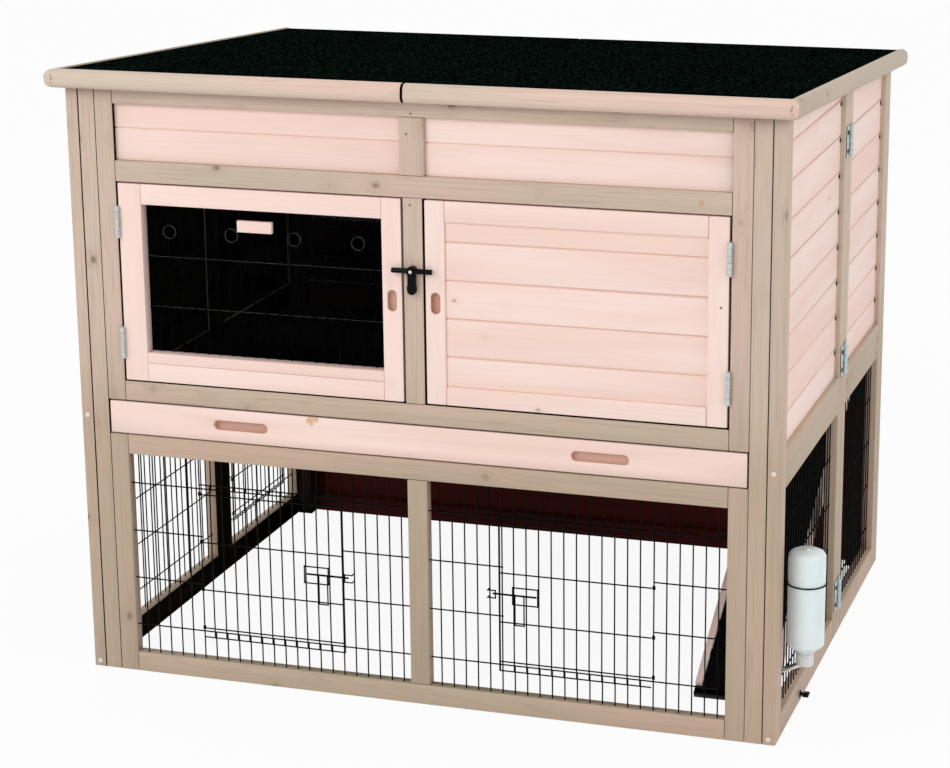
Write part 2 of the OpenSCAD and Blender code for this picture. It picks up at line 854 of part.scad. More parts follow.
module side_front_mesh() {
    on_side() mesh_panel(front_bay[0], front_bay[1], side_open_z[0], side_open_z[1]);
}

module left_front_frame() {
    mirror([1, 0, 0]) front_half_frame();
}

module left_rear_frame() {
    mirror([1, 0, 0]) rear_half_frame();
}

module left_wall_boards() {
    mirror([1, 0, 0]) wall_boards();
}

module left_mesh() {
    color(BLACK) mirror([1, 0, 0]) {
        side_front_mesh();
        on_side()
            mesh_panel_open(rear_bay[0], rear_bay[1], side_open_z[0], side_open_z[1],
                side_margin, 1);
    }
}

module right_front_frame() {
    front_half_frame();
}

module right_rear_frame() {
    rear_half_frame();
}

module right_wall_boards() {
    wall_boards();
}

module right_mesh() {
    color(BLACK) {
        side_front_mesh();
        on_side() mesh_panel(rear_bay[0], rear_bay[1], side_open_z[0], side_open_z[1]);
    }
}

fold_y = split_y + fold_gap / 2;
fold_hinge_z = [fold_low, side_board_z + fold_mid, roof_z(fold_y) - fold_drop];

module fold_hinges() {
    color(ZINC) for (s = [0, 1], z = fold_hinge_z)
        mirror([s, 0, 0]) translate([half_w + knuckle_r, fold_y, z]) {
            rotate([0, -90, 0]) rotate([0, 0, 180]) hinge_leaf(leaf_w, 0, knuckle_r);
            rotate([0, -90, 0]) hinge_leaf(leaf_w, 1, knuckle_r);
        }
}

module black_screws() {
    color(BLACK) {
        for (s = [0, 1], z = fold_hinge_z, dy = [-1, 1], dz = [-1, 1])
            mirror([s, 0, 0])
                translate([half_w + leaf_t, fold_y + dy * (leaf_w - screw_in), z + dz * screw_dz])
                    rotate([0, 0, 90]) screw_head();
        wing_screw();
    }
}

// Wing screw in the right wall's bottom rail
module wing_screw() {
    translate([half_w, front_y + wing_y, wing_z]) rotate([0, 90, 0]) {
        cylinder(d = wing_d, h = wing_collar_t, $fn = 32);
        cylinder(d = wing_d / 2, h = wing_neck_l, $fn = 32);
        block([-wing_t / 2, -wing_span / 2, wing_neck_l - wing_t],
            [wing_t / 2, wing_span / 2, 2 * wing_neck_l - wing_t]);
    }
}

module screw_caps() {
    color("#efe6dc") for (s = [-1, 1], z = [cap_low_z, cap_high_z])
        translate([s * (half_w - wall_t / 2), front_y, z]) screw_head(cap_screw_d, cap_screw_t);
}

// Back wall

module back_frame() {
    x1 = half_w;
    in_x = half_w - back_stile_w;
    color(TAUPE) {
        for (s = [-1, 1])
            roofed([s > 0 ? in_x : -x1, back_in_y, 0], [s > 0 ? x1 : -in_x, back_y]);
        rail(-in_x, in_x, back_in_y, back_y, 0, back_bottom_h);
        rail(-in_x, in_x, back_in_y, back_y, side_mid_z, side_board_z);
        roofed([-in_x + hair, back_in_y, roof_z(back_y) - back_top_h], [in_x - hair, back_y]);
    }
}

module back_boards() {
    in_x = half_w - back_stile_w;
    color(MAHOGANY) translate([in_x, back_y - door_board_set, 0]) rotate([0, 0, 180]) {
        level_boards(2 * in_x, back_bottom_h, side_mid_z, back_bottom_h, board_p);
        level_boards(2 * in_x, side_board_z, roof_z(back_y) - back_top_h,
            side_board_z - wall_hidden, board_p);
    }
}

// Floor, ledges and partition

module rear_floor() {
    z0 = ledge_top;
    z1 = ledge_top + floor_t;
    color(MAHOGANY) {
        block([-post_x, floor_y, z0], [hatch_x, back_in_y, z1]);
        block([-wall_x, floor_y, z0], [-post_x - hair, rear_post_y, z1]);
        block([hatch_x + hair, floor_y, z0], [wall_x, hatch_y, z1]);
        block([hatch_x + hair, batten_y, z0], [post_x, back_in_y, z1]);
    }
}

module tray_ledges() {
    y0 = front_y + post_d;
    y1 = min(batten_y, rear_post_y) - hair;
    in_x = wall_x - ledge_w;
    color(MAHOGANY) {
        block([-wall_x, y0, ledge_z], [-in_x, y1, ledge_top]);
        block([in_x, y0, ledge_z], [wall_x, floor_y + bearer_d, ledge_top]);
        rail(-in_x, in_x, floor_y, floor_y + bearer_d, ledge_z, ledge_top);
        block([-post_x, batten_y, ledge_z], [post_x, back_in_y, ledge_top]);
    }
}

partition_low = pan_z + pan_h + partition_low_gap;
partition_y = [front_y + front_t, floor_y + 10];

module partition_boards() {
    color(MAHOGANY) intersection() {
        translate([-board_t, 0, max(partition_low, door_z)])
            board_stack(roof_z(front_y), partition_y[0], partition_y[1],
                partition_y[0], board_p);
        under_roof(rafter_h);
    }
}

module partition_frame() {
    b = partition_batten;
    y0 = partition_y[0];
    y1 = partition_y[1];
    color(MAHOGANY) {
        block([0, y0, door_z], [b, y1 - hair, door_z + b]);
        intersection() {
            block([-b / 2, y1, ledge_top + floor_t], [b / 2, y1 + b, roof_z(y1)]);
            under_roof(rafter_h + hair);
        }
        intersection() {
            block([-rafter_w / 2, y0, 0], [rafter_w / 2, back_in_y, roof_z(y0)]);
            difference() {
                under_roof();
                under_roof(rafter_h);
            }
        }
    }
}

// Front doors

door_x = [-bay_x + door_gap, -divider_w / 2 - door_gap];
door_low = door_z + door_gap_z;
door_high = head_z - door_gap_z;
window_x = [door_x[0] + hinge_stile_w, door_x[1] - lock_stile_w];
window_z = [door_low + door_bottom_h + bead_h, door_high - door_top_h];

// Stiles and rails of a door between the bay's edges, with a finger slot at the free side
module door_frame(hinge_w) {
    f = front_y;
    b = front_y + door_t;
    x0 = door_x[0];
    x1 = door_x[1];
    difference() {
        block([x1 - lock_stile_w, f, door_low], [x1, b, door_high]);
        translate([x1 - finger_in, f, door_mid_z]) slot_cut(finger_l, finger_w, finger_deep, true);
    }
    block([x0, f, door_low], [x0 + hinge_w, b, door_high]);
    rail(x0 + hinge_w, x1 - lock_stile_w, f, b, door_high - door_top_h, door_high);
    rail(x0 + hinge_w, x1 - lock_stile_w, f, b, door_low, door_low + door_bottom_h);
}

module window_door_frame() {
    low = door_low + door_bottom_h;
    color(PINK) {
        door_frame(hinge_stile_w);
        rail(window_x[0], window_x[1], front_y, front_y + door_t, low + hair, low + bead_h);
    }
}

module window_door_mesh() {
    us = wires(window_x[0], window_x[1]);
    window_h = window_z[1] - window_z[0];
    crossings = [for (share = window_cross) window_z[0] + share * window_h];
    color(BLACK) translate([0, front_y + window_mesh_set, 0])
        grille(us, window_z[0], window_z[1], window_x[0], window_x[1], crossings);
}

module window_pane() {
    mid = (window_x[0] + window_x[1]) / 2;
    high = window_z[1] - pane_gap;
    color(CLEAR, 0.4) difference() {
        block([window_x[0] + pane_gap, front_y + pane_set, window_z[0] + pane_gap],
            [window_x[1] - pane_gap, front_y + pane_set + pane_t, high]);
        for (i = [-1.5:1:1.5])
            translate([mid + i * vent_p, front_y, high - vent_low]) rotate([-90, 0, 0])
                cylinder(d = vent_d, h = door_t, $fn = 48);
    }
}

module pane_pull_block() {
    mid = (window_x[0] + window_x[1]) / 2 + pull_x;
    high = window_z[1] - pane_gap - pull_low;
    y1 = front_y + pane_set;
    color(PINK) block([mid - pull_w / 2, y1 - pull_t, high - pull_h], [mid + pull_w / 2, y1, high]);
}

module solid_door_frame() {
    color(PINK) mirror([1, 0, 0]) door_frame(lock_stile_w);
}

module solid_door_boards() {
    x0 = door_x[0] + lock_stile_w;
    x1 = door_x[1] - lock_stile_w;
    low = door_low + door_bottom_h;
    color(PINK) translate([-x1, front_y + door_board_set, 0])
        level_boards(x1 - x0, low, window_z[1], low + door_first, door_board_p);
}

door_axis = [-bay_x + door_gap / 2, front_y - knuckle_r - 0.1];
door_hinge_seat = door_gap / 2;

module at_door_hinges() {
    for (z = [door_z + door_hinge_in, head_z - door_hinge_in])
        translate([door_axis[0], door_axis[1], z]) children();
}

module door_leaves() {
    color(ZINC) at_door_hinges()
        rotate([0, 90, 0]) hinge_leaf(door_leaf_w, 1, door_hinge_seat);
}

module window_door_leaves() {
    door_leaves();
}

module solid_door_leaves() {
    mirror([1, 0, 0]) door_leaves();
}

module door_hinge_frame_leaves() {
    color(ZINC) for (s = [0, 1])
        mirror([s, 0, 0]) at_door_hinges()
            rotate([0, -90, 0]) hinge_leaf(door_leaf_w, 0, door_hinge_seat);
}

// Turn latch

latch_y = front_y - latch_gap;
latch_z = head_z - latch_drop;

module turn_latch() {
    mid = latch_hub_t - latch_d / 2 - 1;
    foot = -handle_l + handle_w / 2;
    t = handle_t / 2;
    color(BLACK) translate([0, latch_y, latch_z]) difference() {
        union() {
            rotate([90, 0, 0]) cylinder(d = latch_hub_d, h = latch_hub_t, $fn = 48);
            translate([-latch_l / 2, -mid, 0]) rotate([0, 90, 0])
                cylinder(d = latch_d, h = latch_l, $fn = 32);
            translate([0, -mid, foot]) {
                block([-handle_w / 4, -t, 0], [handle_w / 4, t, -foot]);
                block([-handle_w / 2, -t, 0], [handle_w / 2, t, handle_w / 2]);
                translate([0, t, 0]) rotate([90, 0, 0])
                    cylinder(d = handle_w, h = handle_t, $fn = 48);
            }
        }
        translate([0, 1, 0]) rotate([90, 0, 0])
            cylinder(d = latch_screw_d + 2 * pin_gap, h = latch_hub_t + 2, $fn = 48);
    }
}

module latch_screw() {
    color("#dcdcd8") translate([0, front_y, latch_z]) rotate([90, 0, 0]) {
        cylinder(d = latch_screw_d, h = latch_gap + latch_hub_t + latch_gap, $fn = 48);
        translate([0, 0, latch_gap + latch_hub_t + latch_gap])
            cylinder(d = latch_head_d, h = latch_head_h, $fn = 48);
    }
}

// Tray

module tray_front() {
    x1 = post_x - tray_gap;
    z0 = tray_z + tray_gap;
    z1 = sill_z - tray_gap;
    color(PINK) difference() {
        block([-x1, front_y, z0], [x1, front_y + tray_front_t, z1]);
        for (s = [-1, 1])
            translate([s * tray_slot_x, front_y, (z0 + z1) / 2])
                slot_cut(tray_slot_l, tray_slot_w, finger_deep, false);
    }
}

module tray_pan() {
    y0 = front_y + tray_front_t;
    color(ZINC) difference() {
        block([-pan_x, y0, pan_z], [pan_x, tray_back_y, pan_z + pan_h]);
        block([-pan_x + pan_t, y0 + pan_t, pan_z + pan_t],
            [pan_x - pan_t, tray_back_y - pan_t, pan_z + pan_h + 1]);
    }
}

// Wire doors and their bolts

left_wires = wires(-bay_x, -run_stile_w / 2, mesh_shift);
right_wires = wires(run_stile_w / 2, bay_x, mesh_shift);
rear_wires = wires(rear_bay[0], rear_bay[1]);
front_spaces = door_spaces(left_wires, front_margin);
side_spaces = door_spaces(rear_wires, side_margin);

module at_left_door() {
    translate([left_wires[front_margin], front_y + mesh_set, 0]) children();
}

module at_right_door() {
    translate([right_wires[front_margin + front_spaces], front_y + mesh_set, 0])
        mirror([1, 0, 0]) children();
}

module at_side_door() {
    mirror([1, 0, 0]) on_side() translate([rear_wires[side_margin], 0, 0]) children();
}

module wire_door_left() {
    color(BLACK) at_left_door() wire_door(front_spaces);
}

module wire_door_right() {
    color(BLACK) at_right_door() wire_door(front_spaces);
}

module wire_door_side() {
    color(BLACK) at_side_door() wire_door(side_spaces);
}

module slide_bolt_left() {
    color(BLACK) at_left_door() slide_bolt(front_spaces);
}

module slide_bolt_right() {
    color(BLACK) at_right_door() slide_bolt(front_spaces);
}

module slide_bolt_side() {
    color(BLACK) at_side_door() slide_bolt(side_spaces);
}

// Ramp, in a frame with its hinge at the origin and its foot towards -Y

ramp_axis = [0, batten_y + leaf_clear, ledge_z - hinge_seat];
ramp_reach = norm([ramp_l, ramp_t]);
ramp_slope = asin((ramp_axis[2] - foot_clear) / ramp_reach) - atan2(ramp_t, ramp_l);
ramp_x = [wall_x - ramp_side - ramp_w, wall_x - ramp_side];
ramp_start = -leaf_clear - 1.5;

module on_ramp() {
    translate(ramp_axis) rotate([ramp_slope, 0, 0]) children();
}

module ramp_board() {
    color(PINK) on_ramp()
        block([ramp_x[0] + ramp_rail_w, -ramp_l + foot_d, -ramp_t],
            [ramp_x[1] - ramp_rail_w, ramp_start, 0]);
}

module ramp_rails() {
    color(PINK) on_ramp() for (x = [ramp_x[0], ramp_x[1] - ramp_rail_w])
        block([x, -ramp_l + foot_d, -ramp_t], [x + ramp_rail_w, ramp_start, ramp_rail_h]);
}

module ramp_tread() {
    x0 = ramp_x[0] + ramp_rail_w;
    x1 = ramp_x[1] - ramp_rail_w;
    n = floor((ramp_l - foot_d) / cleat_p);
    color(BLACK) on_ramp() {
        block([x0, -ramp_l + foot_d, 0], [x1, ramp_start - strap_l - 4, tread_t]);
        for (i = [1:n - 1])
            block([x0, -ramp_l + foot_d + i * cleat_p, tread_t - eps],
                [x1, -ramp_l + foot_d + i * cleat_p + cleat_w, tread_t + cleat_h]);
    }
}

module ramp_foot() {
    color(BLACK) on_ramp()
        block([ramp_x[0], -ramp_l, -ramp_t], [ramp_x[1], -ramp_l + foot_d, 1]);
}

module ramp_hinge_strap() {
    mid = (ramp_x[0] + ramp_x[1]) / 2;
    color(ZINC) on_ramp() translate([mid, 0, 0]) {
        difference() {
            union() {
                for (i = [1, 3])
                    translate([(i - knuckles / 2) * hinge_l / knuckles + 0.2, 0, 0]) {
                        rotate([0, 90, 0])
                            cylinder(r = knuckle_r, h = hinge_l / knuckles - 0.4, $fn = 48);
                        translate([0, ramp_start - 1, 0])
                            cube([hinge_l / knuckles - 0.4, -ramp_start + 1, leaf_t]);
                    }
                block([-hinge_l / 2, ramp_start - strap_l, 0], [hinge_l / 2, ramp_start, leaf_t]);
            }
            translate([-hinge_l, 0, 0]) rotate([0, 90, 0])
                cylinder(r = pin_r + pin_gap, h = 2 * hinge_l, $fn = 48);
        }
    }
}

module ramp_hinge_bracket() {
    mid = (ramp_x[0] + ramp_x[1]) / 2;
    color(ZINC) translate(ramp_axis + [mid, 0, 0])
        hinge_leaf(door_leaf_w, 0, hinge_seat);
}

// Lids, in a frame on the walls' tops with its origin at the front face

lid_l = body_d / cos(roof_fall);
lid_back = (body_d + back_hang) / cos(roof_fall);
lid_front = -front_hang / cos(roof_fall);
lid_out = half_w + side_hang;
fascia_low = deck_t + felt_t + fascia_lip - fascia_h;
roof_axis_y = back_y + knuckle_r;
roof_axis_l = (roof_axis_y - front_y + hinge_seat * sin(roof_fall)) / cos(roof_fall);

module on_lid() {
    translate([0, front_y, eaves_h + lid_gap]) rotate([-roof_fall, 0, 0]) children();
}

// Inner edge of a lid, as its distance from the middle
function lid_in(side) = side * seam_x + seam / 2;

// Rounded strip along +X with its face towards -Y, from its inner face at 0
module fascia_strip(l) {
    r = fascia_r;
    z0 = fascia_low;
    z1 = fascia_low + fascia_h;
    intersection() {
        block([0, -fascia_t, z0], [l, 0, z1]);
        union() {
            block([0, -fascia_t + r, z0], [l, 0, z1]);
            block([0, -fascia_t, z0 + r], [l, 0, z1 - r]);
            for (z = [z0 + r, z1 - r])
                translate([0, -fascia_t + r, z]) rotate([0, 90, 0])
                    cylinder(r = r, h = l, $fn = 48);
        }
    }
}

// Front strip and side strip, mitred at the corner
module lid_fascia(side) {
    x0 = lid_in(side);
    reach = 2 * lid_l;
    corner = [lid_out - fascia_t, lid_front + fascia_t, 0];
    color(TAUPE) on_lid() {
        difference() {
            translate([x0, corner[1], 0]) fascia_strip(lid_out - x0);
            translate([corner[0] - hair, corner[1], -reach / 2]) rotate([0, 0, -45])
                cube([reach, reach, reach]);
        }
        difference() {
            translate([corner[0], lid_front, 0]) rotate([0, 0, 90])
                fascia_strip(lid_back - lid_front);
            translate([corner[0], corner[1], -reach / 2]) rotate([0, 0, -45])
                translate([0, -reach, 0]) cube([reach, reach, reach]);
        }
    }
}

module lid_deck(side) {
    color(MAHOGANY) on_lid()
        block([lid_in(side), lid_front + fascia_t, 0], [lid_out - fascia_t, lid_back, deck_t]);
}

module lid_felt(side) {
    color(FELT) on_lid()
        block([lid_in(side), lid_front + fascia_t, deck_t],
            [lid_out - fascia_t, lid_back, deck_t + felt_t]);
}

module lid_leaves() {
    color(ZINC) on_lid() for (x = roof_hinge_x)
        translate([x, roof_axis_l, -hinge_seat]) hinge_leaf(leaf_w, 1, hinge_seat);
}

module roof_hinge_wall_leaves() {
    z = eaves_h + lid_gap - roof_axis_l * sin(roof_fall) - hinge_seat * cos(roof_fall);
    color(ZINC) for (s = [-1, 1], x = roof_hinge_x)
        translate([s * x, roof_axis_y, z])
            rotate([0, 0, 180]) rotate([-90, 0, 0]) hinge_leaf(leaf_w, 0, knuckle_r);
}

module left_lid_deck() {
    mirror([1, 0, 0]) lid_deck(-1);
}

module left_lid_fascia() {
    mirror([1, 0, 0]) lid_fascia(-1);
}

module left_lid_felt() {
    mirror([1, 0, 0]) lid_felt(-1);
}

module left_lid_leaves() {
    mirror([1, 0, 0]) lid_leaves();
}

module right_lid_deck() {
    lid_deck(1);
}

module right_lid_fascia() {
    lid_fascia(1);
}

module right_lid_felt() {
    lid_felt(1);
}

module right_lid_leaves() {
    lid_leaves();
}

// Drinking bottle

side_wires = wires(front_bay[0], front_bay[1]);
bottle_y = (side_wires[0] + side_wires[1]) / 2;
bottle_x = half_w + bottle_gap + bottle_d / 2;
neck_z = cap_z + cap_h;
holder_z = cross_z + 2 * cross_p + wire_d + ring_gap;

module at_bottle() {
    translate([bottle_x, bottle_y, 0]) children();
}

module bottle_body() {
    r = bottle_d / 2;
    z1 = neck_z + shoulder_h + bottle_l;
    color("#e4ecec") at_bottle() rotate_extrude($fn = 64) polygon([
        [0, neck_z], [cap_d / 2 - 2, neck_z], [cap_d / 2 - 1, neck_z + 2],
        [r - 2, neck_z + shoulder_h], [r, neck_z + shoulder_h + 3], [r, z1],
        [r - 3, z1 + dome_h * 0.6], [r - 10, z1 + dome_h], [0, z1 + dome_h],
    ]);
}

module bottle_cap() {
    color("#eef2f2") at_bottle() translate([0, 0, cap_z]) cylinder(d = cap_d, h = cap_h, $fn = 48);
}

module bottle_spout() {
    color(ZINC) at_bottle() intersection() {
        translate([0, 0, cap_z + 2]) rotate([0, -90 - spout_fall, 0])
            cylinder(d = spout_d, h = spout_l, $fn = 32);
        block([-bottle_d - spout_l, -bottle_d, -spout_l], [0, bottle_d, cap_z]);
    }
}

module bottle_holder() {
    r = bottle_d / 2 + ring_gap + wire_d / 2;
    ring_x = sqrt(r * r - hook_dy * hook_dy);
    hook_l = bottle_d / 2 + bottle_gap + side_mesh_set + hook_past - ring_x;
    color(BLACK) at_bottle() translate([0, 0, holder_z]) {
        rotate_extrude($fn = 64) translate([r, 0]) circle(d = wire_d, $fn = 16);
        for (s = [-1, 1])
            translate([-ring_x - hook_l, s * hook_dy, 0]) rotate([0, 90, 0])
                cylinder(d = wire_d, h = hook_l, $fn = 16);
    }
}

corner_posts();
front_lower_frame();
front_upper_frame();
front_top_boards();
front_mesh();
left_front_frame();
left_rear_frame();
left_wall_boards();
left_mesh();
right_front_frame();
right_rear_frame();
right_wall_boards();
right_mesh();
fold_hinges();
black_screws();
back_frame();
back_boards();
rear_floor();
tray_ledges();
partition_boards();
partition_frame();
roof_hinge_wall_leaves();
door_hinge_frame_leaves();
ramp_hinge_bracket();
latch_screw();
screw_caps();
window_door_frame();
window_door_mesh();
window_door_leaves();
window_pane();
pane_pull_block();
solid_door_frame();
solid_door_boards();
solid_door_leaves();
turn_latch();
tray_front();
tray_pan();
wire_door_left();
wire_door_right();
wire_door_side();
slide_bolt_left();
slide_bolt_right();
slide_bolt_side();
ramp_rails();
ramp_board();
ramp_tread();
ramp_foot();
ramp_hinge_strap();
left_lid_deck();
left_lid_fascia();
left_lid_felt();
left_lid_leaves();
right_lid_deck();
right_lid_fascia();
right_lid_felt();
right_lid_leaves();
bottle_body();
bottle_cap();
bottle_spout();
bottle_holder();
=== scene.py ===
"""Small animal hutch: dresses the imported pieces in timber, felt, wire and plastic finishes."""
import json
import math
import random

import bpy
import numpy as np
from mathutils import Matrix, Vector

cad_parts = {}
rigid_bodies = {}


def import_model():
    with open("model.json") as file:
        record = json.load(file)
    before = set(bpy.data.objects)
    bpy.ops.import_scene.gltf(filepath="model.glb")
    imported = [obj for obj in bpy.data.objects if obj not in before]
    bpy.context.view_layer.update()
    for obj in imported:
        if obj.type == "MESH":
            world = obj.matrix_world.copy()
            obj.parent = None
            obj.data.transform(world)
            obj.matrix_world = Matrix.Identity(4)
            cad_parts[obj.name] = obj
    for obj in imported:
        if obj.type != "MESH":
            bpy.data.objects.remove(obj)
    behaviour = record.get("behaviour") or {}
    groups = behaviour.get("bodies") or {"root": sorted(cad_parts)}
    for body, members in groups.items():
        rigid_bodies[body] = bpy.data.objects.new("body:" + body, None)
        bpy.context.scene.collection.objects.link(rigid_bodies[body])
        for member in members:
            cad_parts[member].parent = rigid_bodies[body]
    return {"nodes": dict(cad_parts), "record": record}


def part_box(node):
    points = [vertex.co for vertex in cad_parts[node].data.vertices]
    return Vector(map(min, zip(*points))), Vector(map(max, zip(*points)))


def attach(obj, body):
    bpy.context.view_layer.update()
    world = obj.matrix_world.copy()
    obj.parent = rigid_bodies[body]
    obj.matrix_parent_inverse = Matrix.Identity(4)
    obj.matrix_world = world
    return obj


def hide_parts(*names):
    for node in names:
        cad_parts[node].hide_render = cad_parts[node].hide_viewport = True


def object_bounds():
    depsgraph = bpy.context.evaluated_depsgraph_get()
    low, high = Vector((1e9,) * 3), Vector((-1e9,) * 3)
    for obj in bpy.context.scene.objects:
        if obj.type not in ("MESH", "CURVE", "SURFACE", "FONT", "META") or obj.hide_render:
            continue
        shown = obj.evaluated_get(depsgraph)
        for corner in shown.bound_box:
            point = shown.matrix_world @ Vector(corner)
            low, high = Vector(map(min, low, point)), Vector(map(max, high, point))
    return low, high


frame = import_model()

bl_info = {
    "name": "Small Animal Hutch",
    "version": (1, 0, 0),
    "blender": (4, 5, 0),
    "location": "View3D > Sidebar > Hutch",
    "description": "Builds the looks of a two-storey small animal hutch on its packed pieces",
    "category": "Object",
}

MM = 0.001
# Part of a face's normal along an axis, from which it counts as turned that way
SQUARE_ON, MOSTLY, PARTLY = 0.9, 0.6, 0.3
SIDES = ((-1, "left"), (1, "right"))
CAD_LOW, CAD_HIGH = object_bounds()
RECORD = frame["record"]
BODY_OF = {node: body for body, nodes in RECORD["behaviour"]["bodies"].items() for node in nodes}


def srgb(red, green, blue):
    """Colour as a picture shows it, from 0 to 255, in the linear values that a shader takes."""
    def linear(value):
        value /= 255
        return value / 12.92 if value <= 0.04045 else ((value + 0.055) / 1.055) ** 2.4
    return linear(red), linear(green), linear(blue)


def colour(name, description, *value):
    return bpy.props.FloatVectorProperty(
        name=name, description=description, subtype="COLOR", size=3, min=0, max=1,
        default=srgb(*value))


def length(name, description, value, low, high):
    return bpy.props.FloatProperty(
        name=name, description=description, default=value, min=low, max=high,
        subtype="DISTANCE", unit="LENGTH", precision=4)


def lamp_power(name, description, value):
    return bpy.props.FloatProperty(
        name=name, description=description, default=value, min=0, max=500,
        subtype="POWER", unit="POWER")


class HutchColours(bpy.types.PropertyGroup):
    """Colours of the hutch's finishes"""
    washed: colour("Washed timber", "Grey-beige wash of the frames", 207, 189, 170)
    washed_rose: colour("Washed timber, rosy", "Rosy zones of the washed timber", 219, 192, 175)
    washed_line: colour("Washed timber's grain", "Darker fibres under the wash", 158, 136, 118)
    washed_knot: colour("Washed timber's knots", "Knots under the wash", 112, 88, 72)
    pink: colour("Pink paint", "Pale pink paint of boards and doors", 253, 228, 218)
    pink_rose: colour("Pink paint, deeper", "Deeper zones of the pink paint", 249, 217, 206)
    pink_line: colour("Pink paint's grain", "Fibres seen through the pink paint", 224, 190, 174)
    pink_knot: colour("Pink paint's knots", "Knots seen through the pink paint", 176, 146, 130)
    # Partly painted shade: a real red-brown stain, kept as dark as the shaded inside
    dark: colour("Dark stain", "Red-brown stain of the inner timber, kept dark as painted shade", 76, 23, 16)
    dark_line: colour("Dark stain's grain", "Darker fibres of the stained timber", 24, 6, 5)
    felt: colour("Felt", "Bitumen between the felt's grit", 1, 2, 2)
    grit: colour("Grit", "Green grit on the roofing felt", 38, 70, 60)
    coating: colour("Black coating", "Coating of wires and iron fittings", 8, 8, 9)
    # Painted shade, laid on the inner faces of frames and boards
    shade: colour("Painted inner shade", "Painted dark brown shade on the frames' inner faces", 26, 16, 11)
    shade_line: colour("Painted inner shade's grain", "Darker fibres of the inner faces", 12, 8, 7)
    stain: colour("Old stain", "Yellow-brown stains on the tray's front", 205, 160, 100)
    zinc: colour("Zinc", "Zinc plated hinges", 205, 214, 214)
    # Painted shade: the galvanised pan is kept as dark as the shaded inside
    tray: colour("Tray sheet", "Sheet of the tray's pan, dark as painted shade", 17, 18, 18)
    milky: colour("Bottle", "Milky plastic of the drinking bottle", 236, 249, 250)
    white: colour("Bottle cap", "White plastic of the bottle's cap", 240, 240, 238)
    # Painted shade inside the finger slots
    slot: colour("Slot shade", "Painted shade inside the finger slots", 198, 150, 132)
    # Painted shade in the V-grooves between boards
    groove: colour("Groove", "Painted shade in the grooves between boards", 232, 198, 184)


class HutchSizes(bpy.types.PropertyGroup):
    """Sizes that only the looks need"""
    frame_edge: length("Frame edge", "Rounding of the frames' edges", 0.0011, 0.0003, 0.002)
    board_edge: length("Board edge", "Rounding of the boards' edges", 0.0005, 0.0002, 0.001)
    seam: length("Seam", "Width of the dark seams between sticks", 0.0006, 0.0, 0.001)
    metal_edge: length("Metal edge", "Rounding of leaves and screws", 0.0003, 0.0001, 0.0005)
    knot_length: length("Knot length", "Length of a knot along the grain", 0.012, 0.004, 0.020)
    knot_width: length("Knot width", "Width of a knot across the grain", 0.009, 0.003, 0.015)
    grit_size: length("Grit size", "Size of the felt's grit", 0.0022, 0.001, 0.004)
    nail_width: length("Nail width", "Width of the walls' dark nails", 0.0098, 0.002, 0.010)
    brad_width: length("Brad width", "Width of the brads in frames and roof strips", 0.0032,
                       0.001, 0.005)


class HutchStage(bpy.types.PropertyGroup):
    """Camera, lamps and floor"""
    lens: bpy.props.FloatProperty(
        name="Lens", description="Focal length", default=97.3, min=20, max=300,
        subtype="DISTANCE_CAMERA")
    key_power: lamp_power("Key lamp", "Power of the large soft lamp in front", 90)
    side_power: lamp_power("Side lamp", "Power of the soft lamp on the right", 28)
    sky: bpy.props.FloatProperty(
        name="Sky", description="Strength of the even light from all round", default=0.72,
        min=0, max=2)


def clear_selection():
    """Leaves nothing selected and no piece in edit mode."""
    active = bpy.context.view_layer.objects.active
    if active is not None and active.mode != "OBJECT":
        bpy.ops.object.mode_set(mode="OBJECT")
    for other in bpy.context.view_layer.objects:
        other.select_set(False)


def take(piece):
    """Makes one piece the only one selected, and the active one."""
    clear_selection()
    piece.select_set(True)
    bpy.context.view_layer.objects.active = piece


def edit(piece):
    take(piece)
    bpy.ops.object.mode_set(mode="EDIT")
    bpy.ops.mesh.select_mode(type="VERT")
    bpy.ops.mesh.select_all(action="SELECT")


def close_edit():
    bpy.ops.object.mode_set(mode="OBJECT")


def modify(piece, kind, **settings):
    """Adds one modifier and applies it at once."""
    take(piece)
    modifier = piece.modifiers.new(kind.title(), kind)
    for key, value in settings.items():
        setattr(modifier, key, value)
    bpy.ops.object.modifier_apply(modifier=modifier.name)


def soften(piece, width, segments=2, degrees=40):
    """Rounds the edges that turn by more than an angle."""
    modify(piece, "BEVEL", width=width, segments=segments, limit_method="ANGLE",
           angle_limit=math.radians(degrees), use_clamp_overlap=True)


def smooth(piece, degrees=40):
    take(piece)
    bpy.ops.object.shade_smooth_by_angle(angle=math.radians(degrees))


def pick(piece, chosen, points=False):
    """Opens a piece for editing with just the chosen faces or points selected."""
    edit(piece)
    bpy.ops.mesh.select_mode(type="VERT" if points else "FACE")
    bpy.ops.mesh.select_all(action="DESELECT")
    close_edit()
    for part in piece.data.vertices if points else piece.data.polygons:
        part.select = chosen(part.co if points else part.center, part.normal)
    bpy.ops.object.mode_set(mode="EDIT")


def joined(pieces, name):
    """One piece out of several."""
    first = pieces[0]
    take(first)
    for piece in pieces:
        piece.select_set(True)
    if len(pieces) > 1:
        bpy.ops.object.join()
    first.name = first.data.name = name
    return first


def settle(piece):
    """Writes a piece's place into its mesh, so that its object sits at the origin."""
    take(piece)
    bpy.ops.object.transform_apply(location=True, rotation=True, scale=True)


def finish_piece(piece, finish, node=None, body=None):
    """Gives a piece its finish and its body, and lets it stand for the node it was made from."""
    settle(piece)
    piece.data.materials.clear()
    piece.data.materials.append(finish_named(finish))
    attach(piece, body or BODY_OF[node])
    if node:
        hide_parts(node)
    return piece


def whole_copy(node, name):
    """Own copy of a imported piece, with its loose triangles joined to whole flat faces."""
    mesh = frame["nodes"][node].data.copy()
    mesh.materials.clear()
    piece = bpy.data.objects.new(name, mesh)
    bpy.context.scene.collection.objects.link(piece)
    edit(piece)
    bpy.ops.mesh.remove_doubles(threshold=0.00001)
    bpy.ops.mesh.dissolve_limited(angle_limit=math.radians(0.4))
    close_edit()
    return piece


